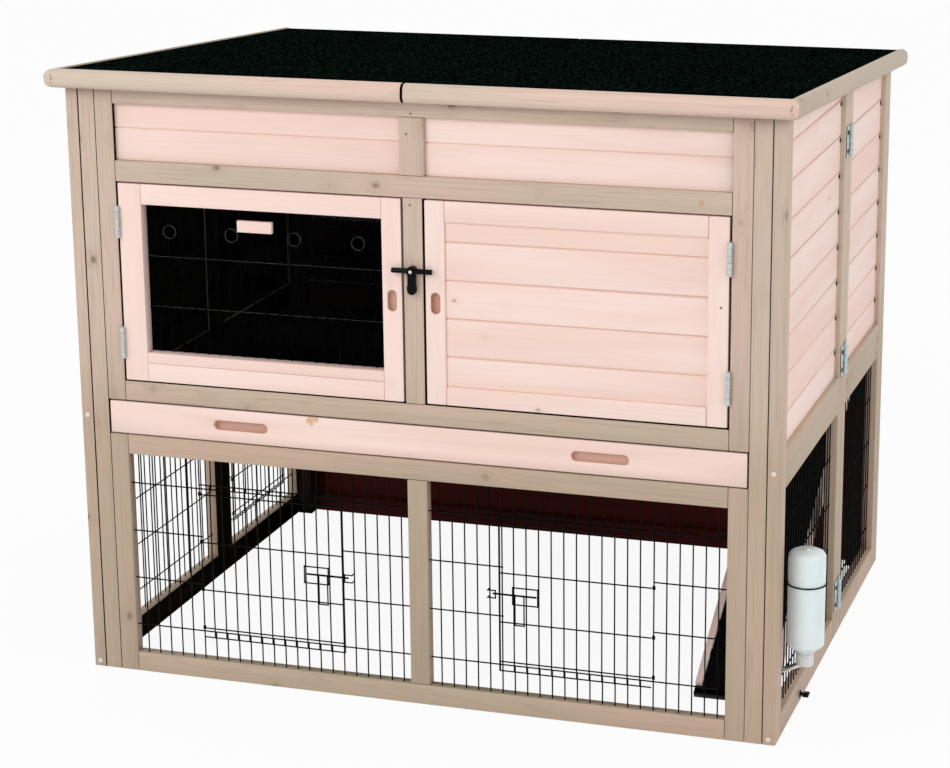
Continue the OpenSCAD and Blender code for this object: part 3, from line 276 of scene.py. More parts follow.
def islands(mesh):
    """Number of the loose piece that each corner point belongs to."""
    ends = np.zeros(len(mesh.edges) * 2, np.int32)
    mesh.edges.foreach_get("vertices", ends)
    one, other = ends.reshape(-1, 2).T
    first = np.arange(len(mesh.vertices))
    while (first[one] != first[other]).any():
        lower = np.minimum(first[one], first[other])
        np.minimum.at(first, one, lower)
        np.minimum.at(first, other, lower)
    return np.unique(first, return_inverse=True)[1]


def lay_grain(piece, seed):
    """Writes places for the grain as an attribute: first along each stick, then across it."""
    mesh = piece.data
    points = np.zeros(len(mesh.vertices) * 3, np.float32)
    mesh.vertices.foreach_get("co", points)
    points = points.reshape(-1, 3)
    marks = islands(mesh)
    grain = np.zeros_like(points)
    chance = random.Random(seed)
    for mark in range(marks.max() + 1):
        mine = marks == mark
        stick = points[mine]
        order = np.argsort(-(stick.max(0) - stick.min(0)), kind="stable")
        shift = np.array([chance.uniform(0, 9) for _ in range(3)])
        grain[mine] = stick[:, order] - stick.mean(0)[order] + shift
    attribute = mesh.attributes.new("grain", "FLOAT_VECTOR", "POINT")
    attribute.data.foreach_set("vector", grain.ravel())


class Wiring:
    """Short words for adding nodes to one tree and joining them."""

    def __init__(self, tree):
        self.tree = tree

    def put(self, socket, value):
        if isinstance(value, bpy.types.NodeSocket):
            self.tree.links.new(value, socket)
        elif value is not None:
            if socket.type == "RGBA" and len(value) == 3:
                value = (*value, 1)
            socket.default_value = value

    def feed(self, node, inputs):
        for key, value in inputs.items():
            self.put(node.inputs[key], value)
        return node

    def node(self, kind, inputs=None, **settings):
        made = self.tree.nodes.new("ShaderNode" + kind)
        for key, value in settings.items():
            setattr(made, key, value)
        return self.feed(made, inputs or {})

    def math(self, operation, a, b=None, clamp=False):
        made = self.node("Math", {0: a, 1: b}, operation=operation, use_clamp=clamp)
        return made.outputs[0]

    def times(self, a, b):
        return self.math("MULTIPLY", a, b)

    def vector(self, operation, a, b=None, scale=None):
        made = self.node("VectorMath", {0: a, 1: b}, operation=operation)
        if scale is not None:
            self.put(made.inputs["Scale"], scale)
        return made.outputs[1 if operation in ("LENGTH", "DISTANCE") else 0]

    def stretched(self, place, along, across):
        """Place for a pattern with other sizes along the grain than across it."""
        return self.vector("MULTIPLY", place, (along, across, across))

    def place(self):
        return self.node("TexCoord").outputs["Object"]

    def seen(self):
        """One where the camera looks, also by way of a mirror or a clear pane."""
        rays = self.node("LightPath").outputs
        return self.math("MAXIMUM", rays["Is Camera Ray"], self.math(
            "MAXIMUM", rays["Is Glossy Ray"], rays["Is Transmission Ray"]))

    def noise(self, place, scale=1.0, detail=2.0, rough=0.5, distortion=0.0):
        return self.node("TexNoise", {"Vector": place, "Scale": scale, "Detail": detail,
                                      "Roughness": rough, "Distortion": distortion}).outputs[0]

    def step(self, value, low, high, to_low=0.0, to_high=1.0):
        made = self.node("MapRange", {"Value": value, "From Min": low, "From Max": high,
                                      "To Min": to_low, "To Max": to_high},
                         interpolation_type="SMOOTHSTEP")
        return made.outputs[0]

    def shaded(self, paint, tone):
        return self.mix(1.0, paint, tone, "MULTIPLY")

    def mix(self, factor, a, b, blend="MIX"):
        made = self.node("Mix", {0: factor, 6: a, 7: b}, data_type="RGBA", blend_type=blend)
        return made.outputs[2]


def new_group(name, inputs):
    """Node group with named sockets, its wiring, and its two ends."""
    tree = bpy.data.node_groups.new(name, "ShaderNodeTree")
    kinds = {"vector": "NodeSocketVector", "colour": "NodeSocketColor", "value": "NodeSocketFloat"}
    for label, kind, default in inputs:
        socket = tree.interface.new_socket(label, in_out="INPUT", socket_type=kinds[kind])
        if default is not None:
            socket.default_value = default
    for label, kind in (("Colour", "colour"), ("Roughness", "value"), ("Height", "value")):
        tree.interface.new_socket(label, in_out="OUTPUT", socket_type=kinds[kind])
    given = tree.nodes.new("NodeGroupInput").outputs
    return tree, Wiring(tree), given, tree.nodes.new("NodeGroupOutput")


def timber_group():
    """Sawn timber: fibres, year lines and knots along the grain attribute."""
    tree, wires, given, result = new_group(
        "Sawn timber",
        [("Grain", "vector", None), ("Base", "colour", None), ("Zone", "colour", None),
         ("Line", "colour", None), ("Knot", "colour", None), ("Lines", "value", 0.5),
         ("Knots", "value", 0.5), ("Knot scale", "value", 1.0), ("Fibres", "value", 0.5),
         ("Sticks", "value", 0.5),
         ("Low", "value", 0.0), ("Low tone", "colour", (0.80, 0.76, 0.69, 1)),
         ("Stained", "value", 0.0), ("Stain", "colour", (0.6, 0.35, 0.13, 1))])
    place = given["Grain"]
    sizes = bpy.context.scene.hutch_sizes
    cell_along, cell_across = 0.085, 0.045
    # Waves in a metre, along the stick and across it
    wobble_rate, swirl_rate, zone_rate = (240, 240), (0.9, 22), (1.6, 16)
    fibre_rate, streak_rate = (9, 520), (1.8, 150)
    cells = wires.stretched(place, 1 / cell_along, 1 / cell_across)
    centres = wires.node("TexVoronoi", {"Vector": cells, "Scale": 1.0}, feature="F1")
    away = wires.vector("SUBTRACT", cells, centres.outputs["Position"])
    shape = wires.stretched(away, 2 * cell_along / sizes.knot_length,
                            2 * cell_across / sizes.knot_width)
    wobble = wires.noise(wires.stretched(place, *wobble_rate))
    reach = wires.math("DIVIDE", wires.vector("LENGTH", shape), given["Knot scale"])
    far = wires.math("ADD", reach, wires.times(wires.math("SUBTRACT", wobble, 0.3), 1.1))
    lucky = wires.node("SeparateColor", {0: centres.outputs["Color"]}).outputs[0]
    here = wires.math("LESS_THAN", lucky, given["Knots"])
    # A knot's heart, dark ring and halo, by the distance from its middle
    heart = wires.times(wires.step(far, 1.35, 0.75), here)
    rim = wires.times(wires.step(far, 1.1, 1.35), wires.step(far, 1.75, 1.4))
    ring = wires.times(rim, here)
    halo = wires.times(wires.step(far, 4.5, 1.2), here)
    swirl = wires.noise(wires.stretched(place, *swirl_rate), rough=0.4, distortion=0.15)
    bent = wires.math("ADD", swirl, wires.times(halo, 0.06))
    year_lines = 120
    years = wires.math("SINE", wires.times(bent, year_lines))
    sharp = wires.step(years, -0.2, 1.0)
    fibre = wires.noise(wires.stretched(place, *fibre_rate), 1.0, 3.0, 0.6)
    streak = wires.noise(wires.stretched(place, *streak_rate), 1.0, 3.0, 0.6)
    zone = wires.step(wires.noise(wires.stretched(place, *zone_rate)), 0.36, 0.66)
    paint = wires.mix(zone, given["Base"], given["Zone"])
    stick = wires.step(wires.noise(place, 0.9, 0.0), 0.3, 0.7)
    darker = wires.shaded(paint, (0.84, 0.83, 0.82))
    paint = wires.mix(wires.times(stick, given["Sticks"]), paint, darker)
    paint = wires.mix(given["Low"], paint, wires.shaded(paint, given["Low tone"]))
    lines = wires.times(wires.times(sharp, wires.step(streak, 0.3, 0.7)), given["Lines"])
    paint = wires.mix(lines, paint, given["Line"])
    dark_fibre = wires.times(wires.step(fibre, 0.52, 0.78), given["Fibres"])
    paint = wires.mix(dark_fibre, paint, given["Line"])
    pale_fibre = wires.times(wires.step(streak, 0.52, 0.3), wires.times(given["Fibres"], 0.35))
    paler = wires.shaded(paint, (1.07, 1.07, 1.07))
    paint = wires.mix(pale_fibre, paint, paler)
    paint = wires.mix(wires.times(halo, 0.16), paint, given["Line"])
    paint = wires.mix(wires.times(heart, 0.72), paint, given["Knot"])
    paint = wires.mix(wires.times(ring, 0.22), paint, given["Knot"])
    paint = wires.mix(given["Stained"], paint, given["Stain"])
    height = wires.math("SUBTRACT", wires.times(fibre, 0.7), wires.times(lines, 0.5))
    wires.feed(result, {"Colour": paint, "Roughness": wires.step(fibre, 0.2, 0.8, 0.62, 0.5),
                        "Height": wires.math("SUBTRACT", height, wires.times(heart, 0.3))})
    return tree


def speckle_group():
    """Grit scattered over felt: fine mineral grains with a few pale ones."""
    tree, wires, given, result = new_group(
        "Mineral grit",
        [("Place", "vector", None), ("Base", "colour", None), ("Grit", "colour", None),
         ("Grain size", "value", 0.002)])
    place = wires.vector("SCALE", given["Place"], scale=wires.math(
        "DIVIDE", 1.0, given["Grain size"]))
    grains = wires.node("TexVoronoi", {"Vector": place, "Scale": 1.0}, feature="F1")
    tone = wires.node("SeparateColor", {0: grains.outputs["Color"]})
    patchy = wires.noise(given["Place"], 9.0, 3.0, 0.6)
    rare = wires.math("POWER", tone.outputs[0], 20.0)
    cloudy = wires.times(wires.math("SUBTRACT", patchy, 0.55), 0.12)
    share = wires.math("ADD", rare, cloudy, clamp=True)
    paint = wires.mix(share, given["Base"], given["Grit"])
    pale = wires.math("GREATER_THAN", tone.outputs[1], 0.93)
    paint = wires.mix(wires.times(pale, 0.3), paint, (0.05, 0.08, 0.07))
    wires.feed(result, {
        "Colour": paint, "Roughness": wires.step(tone.outputs[2], 0.0, 1.0, 0.75, 0.98),
        "Height": wires.math("SUBTRACT", 1.0, grains.outputs["Distance"])})
    return tree


def worn_group():
    """Slight unevenness of a coating or a plated surface, with faint scuffs."""
    tree, wires, given, result = new_group(
        "Uneven coat",
        [("Place", "vector", None), ("Base", "colour", None), ("Other", "colour", None),
         ("Patch", "value", 120.0), ("Share", "value", 0.5), ("Dull", "value", 0.35),
         ("Shine", "value", 0.25)])
    patches = wires.noise(given["Place"], given["Patch"], 3.0, 0.6)
    scuffs = wires.noise(wires.vector("MULTIPLY", given["Place"], (900, 900, 140)))
    share = wires.times(wires.step(patches, 0.35, 0.7), given["Share"])
    rough = wires.node("MapRange", {"Value": scuffs, "From Min": 0.3, "From Max": 0.7,
                                    "To Min": given["Shine"], "To Max": given["Dull"]})
    wires.feed(result, {
        "Colour": wires.mix(share, given["Base"], given["Other"]),
        "Roughness": rough.outputs[0],
        "Height": wires.math("ADD", wires.times(patches, 0.6), wires.times(scuffs, 0.4))})
    return tree


def finish_named(name):
    """Finish made here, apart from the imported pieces' own plain ones."""
    return bpy.data.materials["hutch " + name.replace("_", " ")]


def new_finish(name):
    """Empty material with its shader, and its wiring."""
    material = bpy.data.materials.new("hutch " + name.replace("_", " "))
    material.use_nodes = True
    wires = Wiring(material.node_tree)
    return material, wires, material.node_tree.nodes["Principled BSDF"]


def dress(wires, shader, group, inputs, bump, depth):
    """Places a group in a material and feeds the shader from it."""
    used = wires.node("Group", inputs, node_tree=group)
    relief = wires.node("Bump", {"Height": used.outputs["Height"], "Strength": bump,
                                 "Distance": depth})
    wires.feed(shader, {"Base Color": used.outputs["Colour"], "Normal": relief.outputs[0],
                        "Roughness": used.outputs["Roughness"]})
    return used


def timber_finish(name, group, tones, lines, knots, fibres, sticks, bump, levels=None,
                  low_tone=None, spots=(), gloss=0.3, knot_scale=0.7):
    """Timber finish from four tones: base, zone, line and knot.

    Between the two levels the timber turns to its low tone. Spots are places in millimetres,
    each with the reach of its stain.
    """
    _, wires, shader = new_finish(name)
    grain = wires.node("Attribute", attribute_name="grain", attribute_type="GEOMETRY")
    used = dress(wires, shader, group, {
        "Grain": grain.outputs["Vector"], "Base": tones[0], "Zone": tones[1], "Line": tones[2],
        "Knot": tones[3], "Lines": lines, "Knots": knots, "Knot scale": knot_scale,
        "Fibres": fibres, "Sticks": sticks}, bump, depth=0.0004)
    place = wires.place()
    if levels:
        height = wires.node("SeparateXYZ", {0: place}).outputs[2]
        wires.feed(used, {"Low": wires.step(height, *levels), "Low tone": low_tone})
    stained = None
    for x, y, z, reach in spots:
        far = wires.vector("DISTANCE", place, (x * MM, y * MM, z * MM))
        cloud = wires.noise(place, 260.0)
        edge = wires.math("ADD", far, wires.times(cloud, reach * 0.7 * MM))
        here = wires.step(edge, reach * MM, reach * 0.5 * MM, 0.0, 0.75)
        stained = here if stained is None else wires.math("MAXIMUM", stained, here)
    if stained is not None:
        wires.feed(used, {"Stained": stained, "Stain": bpy.context.scene.hutch_colours.stain})
    wires.feed(shader, {"Specular IOR Level": gloss})


def coat_finish(name, group, base, other, patch, share, dull, shine, metal=0.0, gloss=0.5,
                bump=0.1):
    """Coat from two colours: patches in a metre, their share, and the two roughnesses."""
    _, wires, shader = new_finish(name)
    dress(wires, shader, group, {
        "Place": wires.place(), "Base": base, "Other": other, "Patch": patch, "Share": share,
        "Dull": dull, "Shine": shine}, bump, depth=0.0002)
    return wires.feed(shader, {"Metallic": metal, "Specular IOR Level": gloss})


def felt_finish(name, group, base, grit, grain_size):
    _, wires, shader = new_finish(name)
    dress(wires, shader, group, {"Place": wires.place(), "Base": base, "Grit": grit,
                                 "Grain size": grain_size}, bump=0.6, depth=0.0005)
    wires.feed(shader, {"Specular IOR Level": 0.0})


class HUTCH_OT_finishes(bpy.types.Operator):
    """Makes the finishes of timber, felt, metal and plastic"""
    bl_idname = "hutch.finishes"
    bl_label = "Make the finishes"

    def execute(self, context):
        tones = context.scene.hutch_colours
        self.timbers(timber_group(), tones)
        grit = speckle_group()
        coat = worn_group()
        pitch = (0.004, 0.004, 0.004)
        felt_finish("roof_felt", grit, tones.felt, tones.grit,
                    context.scene.hutch_sizes.grit_size)
        felt_finish("black_felt", grit, pitch, pitch, 1.4 * MM)
        self.coats(coat, tones)
        self.milky(coat, tones)
        self.pane()
        return {"FINISHED"}

    def timbers(self, timber, tones):
        """Washed, pink and stained timber."""
        fibre_and_knot = (tones.washed_line, tones.washed_knot)
        washed = (tones.washed, tones.washed_rose, *fibre_and_knot)
        strip = (srgb(216, 197, 179), srgb(233, 201, 185), *fibre_and_knot)
        # Darker tones for the roof strips' sides, as painted shade
        side_strip = (srgb(189, 177, 158), srgb(200, 182, 165), *fibre_and_knot)
        # Darker tones for the run's middle stile, as painted shade
        stile = (srgb(175, 162, 138), srgb(184, 165, 143), *fibre_and_knot)
        pink = (tones.pink, tones.pink_rose, tones.pink_line, tones.pink_knot)
        groove = (tones.groove, *pink[1:])
        slot = (tones.slot, srgb(214, 172, 156), *pink[2:])
        dark = (tones.dark, srgb(62, 17, 13), tones.dark_line, tones.dark_line)
        shade = (tones.shade, srgb(44, 32, 25), tones.shade_line, tones.shade_line)
        lower = {"levels": (0.57, 0.40), "low_tone": (0.84, 0.82, 0.76), "knot_scale": 1.15}
        # Painted shade: inner timber and partition turn darker from the upper room's floor up
        inside = {"levels": (0.41, 0.45), "low_tone": (0.45, 0.32, 0.32), "gloss": 0.06}
        between = {**inside, "low_tone": (0.45, 0.30, 0.30)}
        spots = {"spots": [(-171, -10, 445, 17), (-326, -8, 426, 18), (-162, -10, 448, 10)]}
        open_grain = (0.5, 0.15, 0.8, 0.5, 0.4)
        # Name, tones, then the strength of lines, knots, fibres, sticks and relief
        for name, own, *strengths, more in (
                ("washed_wood", washed, 0.22, 0.48, 0.6, 0.45, 0.4, lower),
                ("strip_wood", strip, 0.12, 0.3, 0.4, 0.2, 0.3, {}),
                ("side_strip_wood", side_strip, 0.14, 0.3, 0.4, 0.2, 0.3, {}),
                ("stile_wood", stile, 0.22, 0.48, 0.6, 0.3, 0.4, {}),
                ("pink_wood", pink, 0.13, 0.22, 0.16, 0.16, 0.2, {}),
                ("tray_wood", pink, 0.13, 0.15, 0.16, 0.1, 0.2, spots),
                ("groove_wood", groove, 0.1, 0.0, 0.2, 0.1, 0.2, {}),
                ("slot_wood", slot, 0.1, 0.0, 0.3, 0.1, 0.2, spots),
                ("dark_wood", dark, *open_grain, inside),
                ("stained_wood", dark, *open_grain, {}),
                ("partition_wood", dark, *open_grain, between),
                ("shade_wood", shade, 0.5, 0.2, 0.8, 0.5, 0.4, {"gloss": 0.0})):
            timber_finish(name, timber, own, *strengths, **more)

    def coats(self, coat, tones):
        """Black, plated and plastic surfaces."""
        # Name, two colours, patches in a metre, their share, dull, shine, metal, gloss
        for name, *looks in (
                ("black_wire", tones.coating, srgb(4, 4, 5), 200, 0.6, 0.5, 0.4, 0.0, 0.03),
                ("black_steel", srgb(4, 4, 5), srgb(2, 2, 2), 90, 0.7, 0.24, 0.14, 0.0, 0.1),
                ("zinc", tones.zinc, (0.42, 0.46, 0.47), 260, 0.7, 0.42, 0.26, 0.55),
                # Painted shade: the tray's galvanised sheet kept dark
                ("galvanised", tones.tray, srgb(11, 12, 12), 60, 0.9, 0.6, 0.5, 0.0, 0.05),
                # Painted shade on the window mesh's uprights
                ("dull_wire", srgb(5, 5, 5), srgb(3, 3, 3), 200, 0.6, 0.9, 0.8, 0.0, 0.0),
                # Painted shade on the fold hinges' leaf edges
                ("hinge_edge", srgb(52, 66, 64), srgb(30, 40, 39), 200, 0.6, 0.5, 0.4, 0.2),
                ("bright_steel", (0.74, 0.74, 0.72), (0.55, 0.55, 0.54), 300, 0.5, 0.3, 0.15,
                 0.9),
                # Painted highlight on the window mesh's cross wires
                ("bright_wire", (0.62, 0.66, 0.66), (0.45, 0.48, 0.48), 300, 0.5, 0.4, 0.3,
                 0.2),
                ("light_plastic", srgb(232, 220, 208), srgb(218, 204, 190), 200, 0.6, 0.5,
                 0.35),
                ("white_plastic", tones.white, srgb(226, 228, 228), 60, 0.5, 0.42, 0.3),
                ("cut_edge", srgb(66, 74, 74), srgb(44, 50, 50), 200, 0.5, 0.4, 0.25, 0.0,
                 0.2),
                ("nail_mark", srgb(24, 10, 8), srgb(10, 5, 4), 300, 0.7, 0.8, 0.6, 0.0, 0.0),
                ("brad_mark", srgb(122, 106, 94), srgb(84, 70, 60), 300, 0.7, 0.7, 0.5),
                ("small_brad", srgb(190, 158, 134), srgb(160, 128, 106), 300, 0.7, 0.7, 0.5),
                ("plug_wood", srgb(206, 172, 128), srgb(186, 148, 104), 300, 0.7, 0.7, 0.5)):
            coat_finish(name, coat, *looks)

    def milky(self, coat, tones):
        shader = coat_finish("milky_plastic", coat, tones.milky, srgb(222, 234, 232), 14, 0.6,
                             0.42, 0.3, bump=0.05)
        shader.inputs["Subsurface Weight"].default_value = 0.35
        shader.inputs["Subsurface Radius"].default_value = (0.01, 0.012, 0.012)
        shader.inputs["Subsurface Scale"].default_value = 0.5

    def pane(self):
        _, wires, shader = new_finish("clear_pane")
        place = wires.place()
        haze = wires.noise(place, 14.0, 4.0, 0.6)
        smears = wires.noise(wires.vector("MULTIPLY", place, (60, 60, 7)), 1.0, 3.0)
        tint = wires.mix(haze, (0.10, 0.12, 0.12), (0.16, 0.18, 0.18))
        gloss = wires.node("Fresnel", {"IOR": 1.35}).outputs[0]
        cover = wires.math("ADD", wires.times(gloss, 0.05),
                           wires.step(haze, 0.3, 0.8, 0.001, 0.004))
        wires.feed(shader, {"Base Color": tint, "Alpha": cover,
                            "Roughness": wires.step(smears, 0.3, 0.7, 0.03, 0.09)})


FRAMES = ["corner_posts", "front_lower_frame", "front_upper_frame", "left_front_frame",
          "left_rear_frame", "right_front_frame", "right_rear_frame", "back_frame",
          "left_lid_fascia", "right_lid_fascia"]
BOARDS = ["front_top_boards", "left_wall_boards", "right_wall_boards", "solid_door_boards",
          "ramp_board", "ramp_rails", "pane_pull_block"]
SLOTTED = ["window_door_frame", "solid_door_frame", "tray_front"]
INNER = ["back_boards", "rear_floor", "tray_ledges", "partition_boards", "partition_frame",
         "left_lid_deck", "right_lid_deck"]
WIRES = ["front_mesh", "left_mesh", "right_mesh", "window_door_mesh", "wire_door_left",
         "wire_door_right", "wire_door_side", "slide_bolt_left", "slide_bolt_right",
         "slide_bolt_side", "bottle_holder"]
LEAVES = ["fold_hinges", "roof_hinge_wall_leaves", "door_hinge_frame_leaves",
          "window_door_leaves", "solid_door_leaves", "left_lid_leaves", "right_lid_leaves",
          "ramp_hinge_bracket", "ramp_hinge_strap"]


def paint_faces(piece, finish, chosen):
    """Gives the chosen faces of a piece a second finish."""
    piece.data.materials.append(finish_named(finish))
    number = len(piece.data.materials) - 1
    for face in piece.data.polygons:
        if chosen(face.center, face.normal):
            face.material_index = number


def from_rim(at, low, high):
    """How far inside a box's nearest edge a place lies, seen from the front."""
    return min(at.x - low.x, high.x - at.x, at.z - low.z, high.z - at.z)


def post_inside(at, way):
    """Faces of the posts that get painted shade: two of each rear post, one of each front post."""
    middle_depth, inward = 0.4, -way.x * at.x
    if at.y > middle_depth:
        return way.y < -MOSTLY or inward > 0.3
    return inward > 0.45


def front_inside(at, way):
    """Faces of the front frame that get painted shade: its inner faces, and edges of the openings
    below and above its sill.
    """
    half_opening, below_sill, above_sill, below_rail = 0.5, 0.455, 0.46, 0.79
    return way.y > MOSTLY or abs(way.y) < PARTLY and abs(at.x) < half_opening and (
        above_sill < at.z < below_rail or at.z < below_sill)


# Faces listed below get painted shade; the walls' boards get it nearer the middle than this
WALL_INSIDE = 0.5475
INSIDE = {
    "left_front_frame": lambda at, way: way.x > PARTLY,
    "left_rear_frame": lambda at, way: way.x > PARTLY,
    "right_front_frame": lambda at, way: way.x < -PARTLY,
    "right_rear_frame": lambda at, way: way.x < -PARTLY,
    "corner_posts": post_inside,
    "front_upper_frame": front_inside,
    "left_lid_fascia": lambda at, way: way.x > SQUARE_ON and at.x > -0.02,
    "right_lid_fascia": lambda at, way: way.x < -SQUARE_ON and at.x < 0.02,
    "left_wall_boards": lambda at, way: way.x > MOSTLY or at.x > -WALL_INSIDE,
    "right_wall_boards": lambda at, way: way.x < -MOSTLY or at.x < WALL_INSIDE,
    "solid_door_boards": lambda at, way: way.y > MOSTLY or at.y > 0.0,
    "front_top_boards": lambda at, way: way.y > MOSTLY,
}


def paint_inner_shade(piece, node):
    """Paints shade on the faces that a frame or a board turns to the inside."""
    if node in INSIDE:
        paint_faces(piece, "shade_wood", INSIDE[node])


def timber_piece(node, finish, edge, seed):
    """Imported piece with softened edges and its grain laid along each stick."""
    piece = whole_copy(node, node + ".timber")
    if node not in ("front_top_boards", "solid_door_boards"):
        # Along a corner's normal, so that each face moves by half a seam
        inward = bpy.context.scene.hutch_sizes.seam * math.sqrt(3) / 2
        modify(piece, "DISPLACE", strength=-inward, mid_level=0.0)
    soften(piece, edge, degrees=30)
    smooth(piece)
    lay_grain(piece, seed)
    return finish_piece(piece, finish, node)


class HUTCH_OT_frames(bpy.types.Operator):
    """Dresses the washed frames, posts and roof strips"""
    bl_idname = "hutch.frames"
    bl_label = "Washed frames"

    def execute(self, context):
        edge = context.scene.hutch_sizes.frame_edge
        strip_x, strip_y = 0.55, 0.1
        half_stile, run_low, run_high, wall_high = 0.02, 0.03, 0.37, 0.5
        for seed, node in enumerate(FRAMES):
            finish = "strip_wood" if "fascia" in node else "washed_wood"
            piece = timber_piece(node, finish, edge, 11 + seed)
            paint_inner_shade(piece, node)
            # Painted shade: the roof strips' side faces are darker than their fronts
            if "fascia" in node:
                paint_faces(piece, "side_strip_wood",
                            lambda at, way: abs(at.x) > strip_x and at.y > strip_y)
            # Painted shade: the run's middle stile is darker than the rest of the frame
            if node == "front_lower_frame":
                paint_faces(piece, "stile_wood",
                            lambda at, way: abs(at.x) < half_stile
                            and run_low < at.z < run_high)
            # Painted shade: the back frame's inner faces and its rails' level faces up to the
            # upper room take the dark inner finish
            if node == "back_frame":
                paint_faces(piece, "dark_wood", lambda at, way: way.y < -SQUARE_ON or (
                    abs(way.z) > SQUARE_ON and run_low < at.z < wall_high))
        return {"FINISHED"}


class HUTCH_OT_boards(bpy.types.Operator):
    """Dresses the pink boards, the doors' frames and the tray's front"""
    bl_idname = "hutch.boards"
    bl_label = "Pink boards and doors"

    def execute(self, context):
        sizes = context.scene.hutch_sizes
        for seed, node in enumerate(BOARDS):
            piece = timber_piece(node, "pink_wood", sizes.board_edge, 41 + seed)
            # Painted shade on the V-grooves' sloping faces between boards
            if node in ("left_wall_boards", "right_wall_boards", "solid_door_boards"):
                paint_faces(piece, "groove_wood", lambda at, way: MOSTLY < abs(way.z) < 0.8)
            paint_inner_shade(piece, node)
        for seed, node in enumerate(SLOTTED):
            finish = "tray_wood" if node == "tray_front" else "pink_wood"
            piece = timber_piece(node, finish, sizes.frame_edge, 61 + seed)
            # Painted shade inside the finger slots
            paint_faces(piece, "slot_wood", self.slot_test(node))
        return {"FINISHED"}

    def slot_test(self, node):
        """Test for the faces of a finger slot, and not of the frame's inner edges."""
        low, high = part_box(node)
        free = high.x if node == "window_door_frame" else low.x
        slot_in, half_slot, border, shallow, deep = 0.0157, 0.0085, 0.007, 0.0012, 0.0085

        def chosen(at, way):
            near = node == "tray_front" or abs(abs(at.x - free) - slot_in) < half_slot
            return near and from_rim(at, low, high) > border and (
                shallow < at.y - low.y < deep)
        return chosen


class HUTCH_OT_inner_timber(bpy.types.Operator):
    """Dresses the stained timber inside and behind, kept dark as painted shade"""
    bl_idname = "hutch.inner_timber"
    bl_label = "Dark inner timber"

    def execute(self, context):
        edge = context.scene.hutch_sizes.board_edge
        for seed, node in enumerate(INNER):
            finish = "partition_wood" if node == "partition_boards" else "dark_wood"
            piece = timber_piece(node, finish, edge, 81 + seed)
            if node == "back_boards":
                paint_faces(piece, "stained_wood", lambda at, way: way.y > PARTLY)
        return {"FINISHED"}


def plain_copy(node, finish, edge=0.0, degrees=40):
    """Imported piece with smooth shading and, where asked, softened edges."""
    piece = whole_copy(node, node + ".dressed")
    if edge:
        soften(piece, edge)
    smooth(piece, degrees)
    return finish_piece(piece, finish, node)


class HUTCH_OT_wires(bpy.types.Operator):
    """Dresses the wire mesh, the wire doors, their slide bolts and the bottle's holder"""
    bl_idname = "hutch.wires"
    bl_label = "Wire mesh and wire doors"

    def execute(self, context):
        for node in WIRES:
            inner = node == "window_door_mesh"
            piece = plain_copy(node, "dull_wire" if inner else "black_wire", degrees=60)
            # Painted shade on the window mesh's uprights, painted highlight on its cross wires
            # behind them
            if inner:
                wire = 1.9 * MM
                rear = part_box(node)[1].y - wire
                paint_faces(piece, "bright_wire", lambda at, way: (
                    at.y > rear and abs(way.x) < 0.5))
        return {"FINISHED"}


class HUTCH_OT_hinges(bpy.types.Operator):
    """Dresses the hinges and their screws"""
    bl_idname = "hutch.hinges"
    bl_label = "Hinges and screws"

    def execute(self, context):
        edge = context.scene.hutch_sizes.metal_edge
        leaf_face = 0.5616
        for node in LEAVES:
            piece = plain_copy(node, "zinc", edge)
            # Painted shade on the fold hinges' leaf edges
            if node == "fold_hinges":
                paint_faces(piece, "hinge_edge", lambda at, way: (
                    abs(way.x) < 0.5 and abs(at.x) < leaf_face))
        plain_copy("black_screws", "black_steel", edge * 1.6)
        plain_copy("screw_caps", "light_plastic", edge)
        return {"FINISHED"}


class HUTCH_OT_roof(bpy.types.Operator):
    """Dresses the roofing felt of both lids"""
    bl_idname = "hutch.roof"
    bl_label = "Roofing felt"

    def execute(self, context):
        for _, name in SIDES:
            plain_copy(name + "_lid_felt", "roof_felt", 0.4 * MM)
        return {"FINISHED"}


class HUTCH_OT_window(bpy.types.Operator):
    """Dresses the clear pane, with cut rims round its vent holes"""
    bl_idname = "hutch.window"
    bl_label = "Window pane"

    def execute(self, context):
        piece = whole_copy("window_pane", "window_pane.clear")
        soften(piece, 0.7 * MM)
        smooth(piece)
        finish_piece(piece, "clear_pane", "window_pane")
        low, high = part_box("window_pane")
        flat, border = 0.98, 4 * MM
        paint_faces(piece, "cut_edge", lambda at, way: (
            abs(way.y) < flat and from_rim(at, low, high) > border))
        return {"FINISHED"}


class HUTCH_OT_latch(bpy.types.Operator):
    """Dresses the turn latch and its screw"""
    bl_idname = "hutch.latch"
    bl_label = "Turn latch"

    def execute(self, context):
        self.bar()
        self.screw()
        return {"FINISHED"}

    def bar(self):
        """Latch with rounded ends and a handle that stays broad up to its hub."""
        piece = whole_copy("turn_latch", "turn_latch.rounded")
        low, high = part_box("turn_latch")
        middle = (low.x + high.x) / 2
        half_handle, above_foot, below_bar, wider = 0.0037, 0.010, 0.012, 1.75
        pick(piece, lambda at, way: abs(at.x - middle) < half_handle and (
            low.z + above_foot < at.z < high.z - below_bar), points=True)
        bpy.ops.transform.resize(value=(wider, 1, 1), center_override=(middle, low.y, low.z))
        close_edit()
        soften(piece, 1.6 * MM, 3)
        smooth(piece, 50)
        finish_piece(piece, "black_steel", "turn_latch")

    def screw(self):
        """Blackened screw whose bare middle shines."""
        piece = whole_copy("latch_screw", "latch_screw.bare")
        low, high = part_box("latch_screw")
        front, bare_front, bare_radius = low.y + 0.0002, low.y + 0.0004, 1 * MM
        pick(piece, lambda at, way: way.y < -SQUARE_ON and at.y < front)
        bpy.ops.mesh.inset(thickness=0.0014, depth=0.0002)
        close_edit()
        smooth(piece)
        finish_piece(piece, "black_steel", "latch_screw")
        middle = (low + high) / 2
        paint_faces(piece, "bright_steel", lambda at, way: (
            at.y < bare_front
            and math.hypot(at.x - middle.x, at.z - middle.z) < bare_radius))


